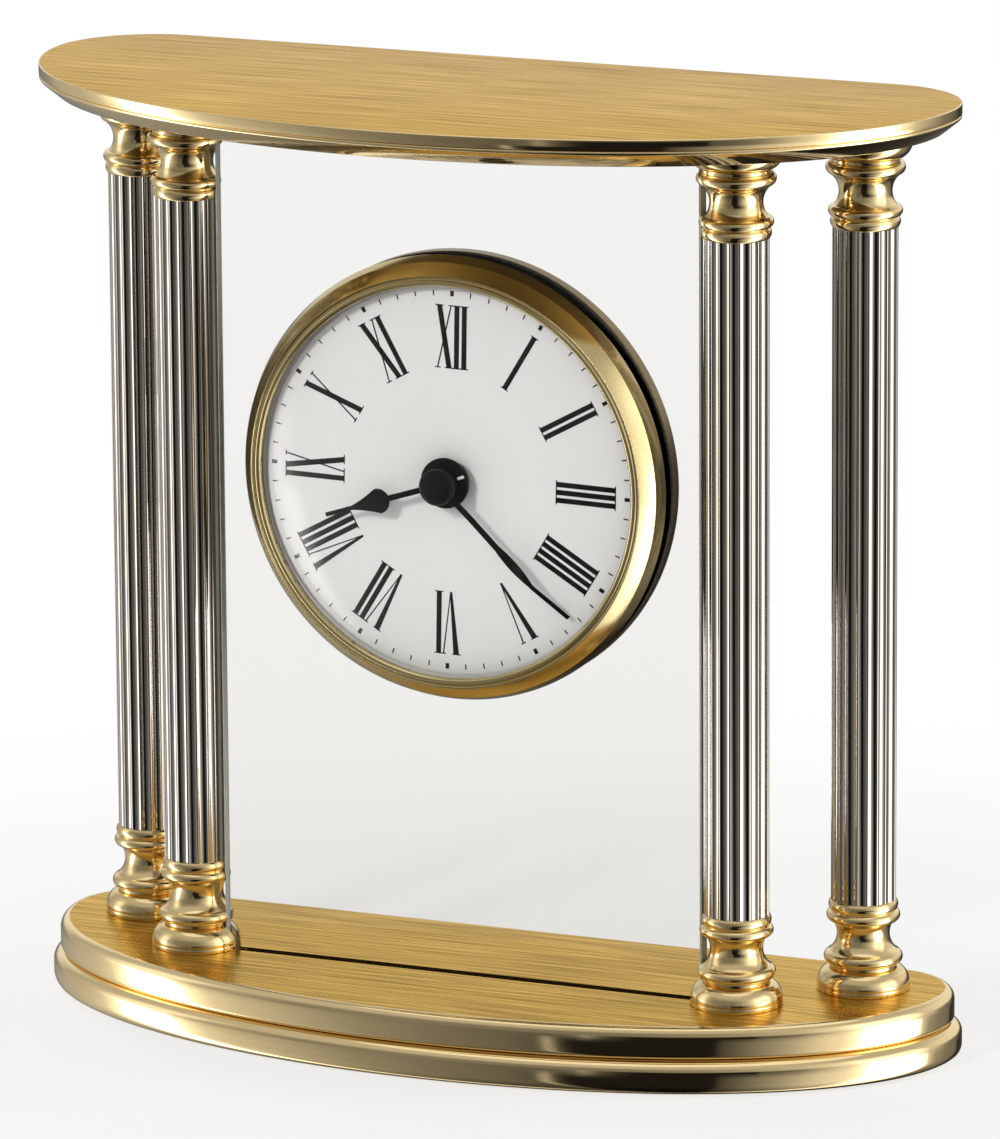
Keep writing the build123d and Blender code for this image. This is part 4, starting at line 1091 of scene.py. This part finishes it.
@dataclass
class DialPrint:
    """Printed numerals and minute marks: flat strokes laid on the dial."""

    foot: float = 19.3
    head: float = 30.2
    thick: float = 0.9
    thin: float = 0.25
    serif: float = 0.2
    over: float = 0.3
    gap: float = 0.46
    slant_gap: float = 0.32
    tick_in: float = 31.75
    tick_out: float = 32.7
    hour_half: float = 0.325
    minute_half: float = 0.11
    minute_in: float = 0.05
    turn_deg: float = 1.2
    sunk: float = 0.01
    rise: float = 0.03

    def bar(self, top: Point, bottom: Point) -> list[Point]:
        """Straight stroke between a span at the head and a span at the foot."""
        return [(bottom[0], self.foot), (bottom[1], self.foot), (top[1], self.head), (top[0], self.head)]

    def line(self, left: float, right: float, at_head: bool) -> list[Point]:
        """Serif line along the head or the foot."""
        v = self.head - self.serif if at_head else self.foot
        return [(left, v), (right, v), (right, v + self.serif), (left, v + self.serif)]

    def letter(self, kind: str, u: float) -> tuple[list[list[Point]], float]:
        """Strokes of one letter that starts at u, each placed by its distance from the letter's left side.

        Args:
            kind: I, V or X.
            u: Where its left side stands.

        Returns:
            The strokes and the letter's width.
        """
        w, n, left = self.thick, self.thin, u - self.over
        if kind == "I":
            right = u + w + self.over
            serifs = [self.line(left, right, at_head) for at_head in (True, False)]
            return [self.bar((u, u + w), (u, u + w)), *serifs], w
        if kind == "V":
            return [self.bar((u, u + w + 0.14), (u + 1.42, u + 1.84)),
                    self.bar((u + 2.75, u + 2.75 + n), (u + 1.6, u + 1.78)),
                    self.line(left, u + w + 0.35, True), self.line(u + 2.4, u + 3.3, True)], 3.0
        return [self.bar((u, u + w + 0.05), (u + 1.9, u + 1.95 + w)),
                self.bar((u + 2.5, u + 2.5 + n), (u + 0.12, u + 0.12 + n)),
                self.line(left, u + w + self.over, True), self.line(u + 2.15, u + 3.05, True),
                self.line(u - 0.25, u + 0.8, False), self.line(u + 1.6, u + 2.3 + w, False)], 2.9

    def numeral(self, word: str) -> Array:
        """Strokes of one numeral, centred on its own middle line.

        Args:
            word: The numeral's letters.

        Returns:
            Strokes by four corners by two.
        """
        strokes, u = [], 0.0
        for kind in word:
            made, wide = self.letter(kind, u)
            strokes += made
            u += wide + (self.gap if kind == "I" else self.slant_gap)
        out = np.array(strokes)
        out[..., 0] -= (out[..., 0].min() + out[..., 0].max()) / 2
        return out

    @staticmethod
    def laid(strokes: Array, degrees: float | Array) -> Array:
        """Turns strokes clockwise from twelve: across goes to (cos, -sin), outwards to (sin, cos).

        Args:
            strokes: Strokes by four corners by two, as across and outwards.
            degrees: One angle, or one for each stroke as a column.

        Returns:
            Strokes by four corners by two, as x and height over the dial's centre.
        """
        a = np.radians(degrees)
        u, v = strokes[..., 0], strokes[..., 1]
        return np.stack([u * np.cos(a) + v * np.sin(a), v * np.cos(a) - u * np.sin(a)], axis=-1)

    def ticks(self) -> Array:
        """Sixty marks: short blocks on the hours, fine lines on the other minutes.

        Returns:
            Strokes by four corners by two.
        """
        minute = np.arange(60)
        on_hour = minute % 5 == 0
        half = np.where(on_hour, self.hour_half, self.minute_half)
        inner = np.where(on_hour, self.tick_in, self.tick_in + self.minute_in)
        outer = np.full(60, self.tick_out)
        u = np.stack([-half, half, half, -half], axis=1)
        v = np.stack([inner, inner, outer, outer], axis=1)
        return self.laid(np.stack([u, v], axis=-1), (minute * 6.0 + self.turn_deg)[:, None])

    def build(self) -> None:
        """Builds all strokes as thin closed prisms on the dial's face."""
        words = ["XII", "I", "II", "III", "IIII", "V", "VI", "VII", "VIII", "IX", "X", "XI"]
        strokes = [self.laid(self.numeral(w), 30.0 * i + self.turn_deg) for i, w in enumerate(words)]
        strokes.append(self.ticks())
        shell = Shell().prisms(np.concatenate(strokes), DIAL_FACE + self.sunk, DIAL_FACE - self.rise)
        shell.piece("dial_print", "stand", "hand_black", [DIAL_INK])


@dataclass
class Hands:
    """Hour hand, minute hand, centre cap, alarm disc and the nut under it."""

    thick: float = 0.4
    chamfer: float = 0.1
    hour_deg: float = 251.9
    hour_rise: float = 3.0
    hour_len: float = 22.5
    hour_hub: float = 2.56
    hour_stem: float = 0.5
    hour_point: float = 0.36
    ball_r: float = 2.15
    ball_at: float = 12.5
    taper_middle: Point = (1.02, 15.25)
    taper_end: float = 17.5
    minute_deg: float = 134.3
    minute_rises: Points = ((3.0, 4.3), (7.0, 3.9), (23.2, 3.9), (30.9, 1.25))
    minute_hub: float = 2.2
    minute_stem: float = 0.52
    minute_point: float = 0.37
    leaf_start: float = 14.3
    leaf_middle: Point = (0.8, 18.2)
    leaf_end: float = 22.8
    cap_r: float = 3.1
    cap_rise: float = 4.7
    cap_h: float = 2.0
    cap_foot: float = 0.15
    cap_roll: float = 0.8
    cap_crown: Points = ((2.2, 0.13), (1.1, 0.33), (0.0, 0.4))
    disc_corners: Points = ((2.2, -6.3), (4.33, -6.3), (4.33, -6.9), (2.2, -6.9))
    mark_corners: Points = ((-0.25, 2.6), (0.25, 2.6), (0.25, 3.9), (-0.25, 3.9))
    mark_deg: float = 68.0
    mark_y: Point = (-6.89, -6.92)
    nut_corners: Points = (
        (3.22, DIAL_FACE), (3.55, DIAL_FACE), (3.55, DIAL_FACE - 1.3), (3.22, DIAL_FACE - 1.3),
    )
    steps: int = 96

    def blade(self, name: str, node: str, body: str, degrees: float, s: Array, half: Array,
              rise: Array) -> None:
        """Builds a flat hand: at each station a chamfered rectangle, as wide as the outline there.

        Args:
            name: Name of the piece.
            node: Node that it stands for.
            body: Body that carries it.
            degrees: Direction, clockwise from twelve.
            s: Stations from the tail to the tip.
            half: Half width at each station.
            rise: Height of the underside over the dial at each station.
        """
        s, half, rise = (np.append(v, v[-1]) for v in (s, half, rise))
        half[-1] = 0.0
        a, t, c = math.radians(degrees), self.thick, self.chamfer
        inner = np.clip(half - c, 0.0, None)
        ring = [(-inner, 0.0), (inner, 0.0), (half, c), (half, t - c),
                (inner, t), (-inner, t), (-half, t - c), (-half, c)]
        points = np.stack([
            np.column_stack([u * math.cos(a) + s * math.sin(a), DIAL_FACE - rise - h,
                             DIAL_Z + s * math.cos(a) - u * math.sin(a)]) for u, h in ring])
        shell = Shell().grid(points, wrap_u=True)
        shell.piece(name, body, "hand_black", [HAND_BLACK], [node], sharp=30.0)

    @staticmethod
    def disc(s: Array, centre: float, radius: float) -> Array:
        """Half width of a disc at each station: sqrt(radius^2 - (s - centre)^2), and 0 beyond it."""
        return np.sqrt(np.clip(radius ** 2 - (s - centre) ** 2, 0.0, None))

    def hour(self) -> None:
        """Spade hand: hub disc, thin stem, round shoulder, then a concave taper to a narrow point.

        The stations of each part start and end a little clear of the next part.
        """
        hub, at, end = self.hour_hub, self.ball_at, self.taper_end
        s = np.concatenate([
            -hub * np.cos(np.linspace(0, math.pi, 33)), np.linspace(hub + 0.04, at - self.ball_r - 0.05, 9),
            at - self.ball_r * np.cos(np.linspace(0, math.pi / 2, 25)), np.linspace(at + 0.1, end, 26),
            np.linspace(end + 0.4, self.hour_len, 6),
        ])
        stem = np.where((s > 0) & (s < at), self.hour_stem, 0.0)
        ball = self.disc(s, at, self.ball_r) * (s <= at)
        curve = arc_through((self.ball_r, at), self.taper_middle, (self.hour_point, end), 40)
        taper = np.interp(s, curve[:, 1], curve[:, 0]) * ((s > at) & (s <= end))
        point = np.where(s > at, self.hour_point, 0.0)
        half = np.max([self.disc(s, 0.0, hub), stem, ball, taper, point], axis=0)
        rise = np.full_like(s, self.hour_rise)
        self.blade("spade_hand", "hour_hand", "hour_work", self.hour_deg, s, half, rise)

    def minute(self) -> None:
        """Leaf hand: hub disc, straight stem, slender leaf and a straight point, bent down to the dial.

        The stations of each part start and end a little clear of the next part.
        """
        hub, start, end = self.minute_hub, self.leaf_start, self.leaf_end
        bends, rises = np.array(self.minute_rises).T
        s = np.concatenate([
            -hub * np.cos(np.linspace(0, math.pi, 33)), np.linspace(hub + 0.1, start - 0.1, 13),
            np.linspace(start, end, 40), np.linspace(bends[-2], bends[-1], 9),
        ])
        stem = np.where((s > 0) & (s <= start), self.minute_stem, 0.0)
        curve = arc_through((self.minute_stem, start), self.leaf_middle, (self.minute_point, end), 60)
        leaf = np.interp(s, curve[:, 1], curve[:, 0]) * ((s > start) & (s <= end))
        point = np.where(s > end, self.minute_point, 0.0)
        half = np.max([self.disc(s, 0.0, hub), stem, leaf, point], axis=0)
        rise = np.interp(s, bends, rises)
        self.blade("leaf_hand", "minute_hand", "minute_work", self.minute_deg, s, half, rise)

    def cap(self) -> None:
        """Round cap: an upright wall that rolls over into a low dome."""
        r, y0 = self.cap_r, DIAL_FACE - self.cap_rise
        y1 = y0 - self.cap_h
        brim = (r - self.cap_foot, y0)
        crown = [(q, y1 - h) for q, h in self.cap_crown]
        foot = quarter((r, y0), brim, (r, y0 - self.cap_foot), 4)
        roll = quarter((r, y1), (r, y1 + self.cap_roll), crown[0], 10)
        dome = arc_through(*crown, 12)
        profile = np.vstack([(0.0, y0), brim, foot, roll, dome])
        profile[-1, 0] = 0.0
        shell = Shell().turned(profile, Axis.INSERT, steps=self.steps, loop=False)
        shell.piece("round_cap", "minute_work", "hand_black", [HAND_BLACK], ["centre_cap"])

    def alarm(self) -> None:
        """Black disc with a short white pointer mark laid on its face."""
        shell = eased_ring(self.disc_corners, ease=0.1, corner_steps=4, steps=self.steps)
        mark = DialPrint.laid(np.array([self.mark_corners]), self.mark_deg)
        shell.prisms(mark, *self.mark_y, mark=1)
        finishes = [HAND_BLACK, MARK_WHITE]
        shell.piece("alarm_pointer_disc", "alarm_work", "hand_black", finishes, ["alarm_disc"])

    def nut(self) -> None:
        """Low round nut that holds the dial to the movement, hidden under the disc."""
        shell = eased_ring(self.nut_corners, ease=0.08, corner_steps=3, steps=self.steps)
        # Brass nut finished black as painted shade under the disc
        shell.piece("round_nut", "stand", "gear_brass", [HAND_BLACK], ["dial_nut"])

    def build(self) -> None:
        """Builds the five pieces."""
        self.hour()
        self.minute()
        self.cap()
        self.alarm()
        self.nut()


@dataclass
class PackedNodes:
    """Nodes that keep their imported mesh: they only take a finish."""

    def build(self) -> None:
        """Gives every node its own finish or its slot's; the worked pieces then stand for some of them."""
        for part in frame["record"]["subparts"]:
            node = frame["nodes"][part["node"]]
            finish = NODE_FINISH.get(part["node"], SLOT_FINISH[part["material_slot"]])
            node.data.materials.clear()
            node.data.materials.append(finish.material())
            LOG.info("%s: packed mesh in %s", part["node"], finish.name)


# Studio

# Brightness that mirrors find low down, a little below the horizon and above it, against the bearing in
# degrees from straight in front towards the right
LOW_GLOW: Points = (
    (-180, 0.05), (-150, 0.2), (-125, 0.42), (-108, 0.52), (-95, 0.62), (-87, 0.8), (-81, 1.6), (-76, 5.2),
    (-66, 5.2), (-61, 1.4), (-56, 0.85), (-50, 0.65), (-40, 0.46), (-30, 0.3), (-18, 0.19), (-9, 0.15),
    (-4, 0.09), (-2.5, 0.5), (-1, 0.05), (1, 0.012), (27, 0.012), (28, 0.06), (33, 0.15), (41, 0.33),
    (48, 0.52), (56, 0.8), (65, 1.0), (71, 1.5), (78, 4.4), (109, 4.4), (117, 0.75), (124, 0.34), (138, 0.22),
    (154, 0.18), (160, 0.03), (180, 0.05),
)
MID_GLOW: Points = (
    (-180, 0.05), (-150, 0.17), (-130, 0.27), (-121, 0.34), (-112, 0.47), (-96, 0.54), (-88, 0.7), (-81, 1.3),
    (-75, 4.4), (-68, 4.4), (-62, 1.2), (-56, 0.7), (-50, 0.55), (-40, 0.42), (-34, 0.32), (-24, 0.23),
    (-13, 0.16), (-2, 0.12), (2, 0.14), (3.6, 0.35), (6, 0.1), (9, 0.04), (12, 0.012), (36.5, 0.012),
    (37.5, 0.1), (42, 0.12), (49, 0.22), (57, 0.5), (66, 0.85), (72, 1.4), (80, 4.0), (98, 4.0), (106, 1.3),
    (117, 0.65), (129, 0.44), (141, 0.22), (154, 0.15), (165, 0.05), (180, 0.05),
)
HIGH_GLOW: Points = (
    (-180, 0.9), (-135, 0.85), (-112, 0.45), (-90, 0.6), (-78, 1.2), (-66, 1.2), (-58, 0.5), (-40, 0.26),
    (-10, 0.22), (10, 0.22), (30, 0.32), (50, 0.6), (65, 1.0), (75, 1.8), (108, 1.7), (118, 0.7), (140, 0.85),
    (180, 0.9),
)


@dataclass(frozen=True)
class Lamp:
    """Rectangular soft lamp that looks at the clock's middle, and that no mirror or glass shows.

    Bearing and height are in degrees, reach, size and middle in metres.
    """

    name: str
    bearing: float
    height: float
    reach: float
    size: Point
    watts: float
    middle: Triple = (0.0, 0.0, 0.09)

    def build(self) -> None:
        """Places the lamp: its bearing runs from straight in front towards the right, its height upwards."""
        data = bpy.data.lights.new(self.name, "AREA")
        data.shape, data.energy = "RECTANGLE", self.watts
        data.size, data.size_y = self.size
        a, e = math.radians(self.bearing), math.radians(self.height)
        way = Vector((math.sin(a) * math.cos(e), -math.cos(a) * math.cos(e), math.sin(e)))
        obj = bpy.data.objects.new(self.name, data)
        obj.location = Vector(self.middle) + self.reach * way
        obj.rotation_euler = way.to_track_quat("Z", "Y").to_euler()
        obj.visible_glossy = obj.visible_transmission = False
        bpy.context.scene.collection.objects.link(obj)


LAMPS = (
    Lamp("key_lamp", -16.0, 27.0, 1.2, (0.14, 0.18), 6.3),
    Lamp("left_lamp", -128.0, 12.0, 0.9, (0.25, 0.7), 4.0),
    Lamp("right_lamp", 112.0, 12.0, 0.9, (0.25, 0.7), 4.0),
)


@dataclass
class Studio:
    """Pale floor, soft lamps, a tent for the metal to mirror, and the camera.

    Angles are in degrees, the eye, the clip and the fade in metres, the floor and the tent in millimetres.
    """

    eye: Triple = (0.58985, -1.38617, 0.44755)
    yaw: float = 22.8
    pitch: float = 13.606
    roll: float = -0.373
    lens_mm: float = 288.47
    sensor_mm: float = 36.0
    clip: Point = (0.05, 50.0)
    sky_tint: Colour = (1.0, 0.985, 0.965)
    sky_fill: float = 0.4
    floor_tone: Colour = (0.86, 0.855, 0.85)
    floor_rough: float = 0.9
    floor_rings: tuple[float, ...] = (0.0, 100.0, 300.0, 1000.0, 4000.0)
    floor_steps: int = 64
    floor_z: float = -0.02
    fade_from: float = 0.06
    fade_to: float = 0.26
    fade_least: float = 0.7
    tent_r: float = 3000.0
    tent_step: float = 0.5
    tent_top: float = 0.55
    tent_rim: float = 64.0
    tent_foot: float = -89.0
    dim_from: Point = (-60.0, -30.0)
    dim_least: float = 0.3
    low_to_mid: Point = (-15.5, -12.5)
    mid_to_high: Point = (-2.0, 7.0)
    high_to_top: Point = (26.0, 45.0)

    def camera(self) -> None:
        """Places the camera at the photograph's angle."""
        yaw, pitch, roll = (math.radians(v) for v in (self.yaw, self.pitch, self.roll))
        level = math.cos(pitch)
        ahead = Vector((-math.sin(yaw) * level, math.cos(yaw) * level, -math.sin(pitch)))
        right = Vector((math.cos(yaw), math.sin(yaw), 0.0))
        up = right.cross(ahead)
        across = math.cos(roll) * right + math.sin(roll) * up
        upward = math.cos(roll) * up - math.sin(roll) * right
        data = bpy.data.cameras.new("photo_camera")
        data.sensor_width, data.lens = self.sensor_mm, self.lens_mm
        data.clip_start, data.clip_end = self.clip
        cam = bpy.data.objects.new("photo_camera", data)
        turn = Matrix((across, upward, -ahead)).transposed()
        cam.matrix_world = Matrix.Translation(self.eye) @ turn.to_4x4()
        bpy.context.scene.collection.objects.link(cam)
        bpy.context.scene.camera = cam

    @staticmethod
    def seen(board: NodeBoard) -> Socket:
        """Adds nodes that tell rays from the camera, mirrors or glass from the rest.

        Args:
            board: Node tree to add to.

        Returns:
            A socket that is 1 for those rays and 0 for others.
        """
        path = board.add("LightPath").outputs
        shown = path["Is Camera Ray"]
        for kind in ("Is Glossy Ray", "Is Transmission Ray"):
            shown = board.add("Math", {0: shown, 1: path[kind]}, operation="MAXIMUM").outputs[0]
        return shown

    @staticmethod
    def mirrored(board: NodeBoard, straight: Socket | None, turned: Socket | None) -> None:
        """Shows one shader to rays that come straight or through glass, another to those off a mirror.

        Args:
            board: Node tree to finish.
            straight: Shader for rays that no mirror has turned, clear if left out.
            turned: Shader for rays that a mirror has turned, clear if left out.
        """
        clear = board.add("BsdfTransparent").outputs["BSDF"]
        depth = board.add("LightPath").outputs["Glossy Depth"]
        board.own("Material Output", {"Surface": board.either(depth, straight or clear, turned or clear)})

    def world(self) -> None:
        """White surroundings at strength 1 where they are seen, and a soft fill where they only light."""
        world = bpy.data.worlds.new("studio")
        bpy.context.scene.world = world
        board = NodeBoard(world)
        fill = board.own("Background", {"Color": (*self.sky_tint, 1.0), "Strength": self.sky_fill})
        white = board.add("Background", {"Color": WHITE, "Strength": 1.0})
        surface = board.either(self.seen(board), fill.outputs["Background"], white.outputs["Background"])
        board.own("World Output", {"Surface": surface})

    def floor_paint(self) -> bpy.types.Material:
        """White floor that goes over to plain white away from the clock, and keeps the shadow near it.

        Returns:
            The floor's material.
        """
        mat = bpy.data.materials.new("floor_white")
        board = NodeBoard(mat)
        paint = board.own("Principled BSDF", {
            "Base Color": (*self.floor_tone, 1.0), "Roughness": self.floor_rough, "Specular IOR Level": 0.0,
        })
        glow = board.add("Emission", {"Color": WHITE})
        place = board.add("TexCoord").outputs["Object"]
        reach = board.add("VectorMath", {0: place}, operation="LENGTH").outputs["Value"]
        fade = board.add("MapRange", {
            "Value": reach, "From Min": self.fade_from, "From Max": self.fade_to, "To Min": self.fade_least,
        }, interpolation_type="SMOOTHSTEP").outputs["Result"]
        share = board.add("Math", {0: self.seen(board), 1: fade}, operation="MULTIPLY").outputs[0]
        self.mirrored(board, board.either(share, paint.outputs["BSDF"], glow.outputs["Emission"]), None)
        return mat

    def floor(self) -> None:
        """Round floor under the clock: rings of points out to four metres."""
        r = np.array(self.floor_rings)[:, None]
        t = np.linspace(0, 2 * math.pi, self.floor_steps, endpoint=False)[None]
        points = np.stack([r * np.cos(t), r * np.sin(t), np.full_like(r * t, self.floor_z)], axis=-1)
        mesh = Shell().grid(points, wrap_v=True).mesh("floor", sharp=30.0)
        mesh.materials.append(self.floor_paint())
        obj = bpy.data.objects.new("floor", mesh)
        obj.visible_glossy = False
        bpy.context.scene.collection.objects.link(obj)

    def tent_mesh(self) -> bpy.types.Mesh:
        """Part of a sphere whose brightness goes with bearing and height.

        A point at bearing a and height e stands at the radius times (cos e sin a, -cos e cos a, sin e).
        Three tables give the brightness low down, near the horizon and above it. All even out upwards, and
        dim towards the foot.

        Returns:
            The mesh, with the brightness at each point.
        """
        a = np.radians(np.arange(-180.0, 180.0, self.tent_step))[None]
        heights = [self.tent_foot, *self.dim_from, *self.low_to_mid, *self.mid_to_high, *self.high_to_top]
        e = np.radians([*heights, self.tent_rim])[:, None]
        points = np.stack([np.cos(e) * np.sin(a), -np.cos(e) * np.cos(a), np.sin(e) + 0.0 * a], axis=-1)
        mesh = Shell().grid(points * self.tent_r, wrap_v=True).mesh("mirror_tent", sharp=180.0)
        at = np.empty(3 * len(mesh.vertices))
        mesh.vertices.foreach_get("co", at)
        x, y, z = at.reshape(-1, 3).T / (self.tent_r * MM)
        bearing, height = np.degrees(np.arctan2(x, -y)), np.degrees(np.arcsin(np.clip(z, -1.0, 1.0)))
        glow, mid, high = (np.interp(bearing, *np.array(t).T) for t in (LOW_GLOW, MID_GLOW, HIGH_GLOW))
        steps = [(mid, self.low_to_mid), (high, self.mid_to_high), (self.tent_top, self.high_to_top)]
        for level, span in steps:
            glow = glow + (level - glow) * np.interp(height, span, (0.0, 1.0))
        glow = glow * np.interp(height, self.dim_from, (self.dim_least, 1.0))
        mesh.attributes.new("glow", "FLOAT", "POINT").data.foreach_set("value", glow.astype(np.float32))
        return mesh

    def tent(self) -> None:
        """Studio tent that only mirrors show.

        Over its rim, and for rays that no mirror has turned, the white surroundings show.
        """
        mesh = self.tent_mesh()
        mat = bpy.data.materials.new("mirror_tent")
        board = NodeBoard(mat)
        board.tree.nodes.remove(board.tree.nodes["Principled BSDF"])
        level = board.add("Attribute", attribute_name="glow").outputs["Fac"]
        self.mirrored(board, None, board.add("Emission", {"Strength": level}).outputs["Emission"])
        mesh.materials.append(mat)
        obj = bpy.data.objects.new("mirror_tent", mesh)
        obj.visible_camera = obj.visible_diffuse = obj.visible_shadow = obj.visible_volume_scatter = False
        bpy.context.scene.collection.objects.link(obj)

    def build(self) -> None:
        """Sets the plain view, then the surroundings, floor, lamps, tent and camera."""
        bpy.context.scene.view_settings.view_transform = "Standard"
        self.world()
        self.floor()
        for lamp in LAMPS:
            lamp.build()
        self.tent()
        self.camera()


def main() -> None:
    """Builds the clock piece by piece, then the studio."""
    logging.basicConfig(level=logging.INFO, format="%(name)s: %(message)s")
    PackedNodes().build()
    Base().build()
    Top().build()
    for row in Row:
        for side in Side:
            Column(side, row).build()
    GlassPanel().build()
    Insert().build()
    DialPrint().build()
    Hands().build()
    Studio().build()


if __name__ == "__main__":
    main()
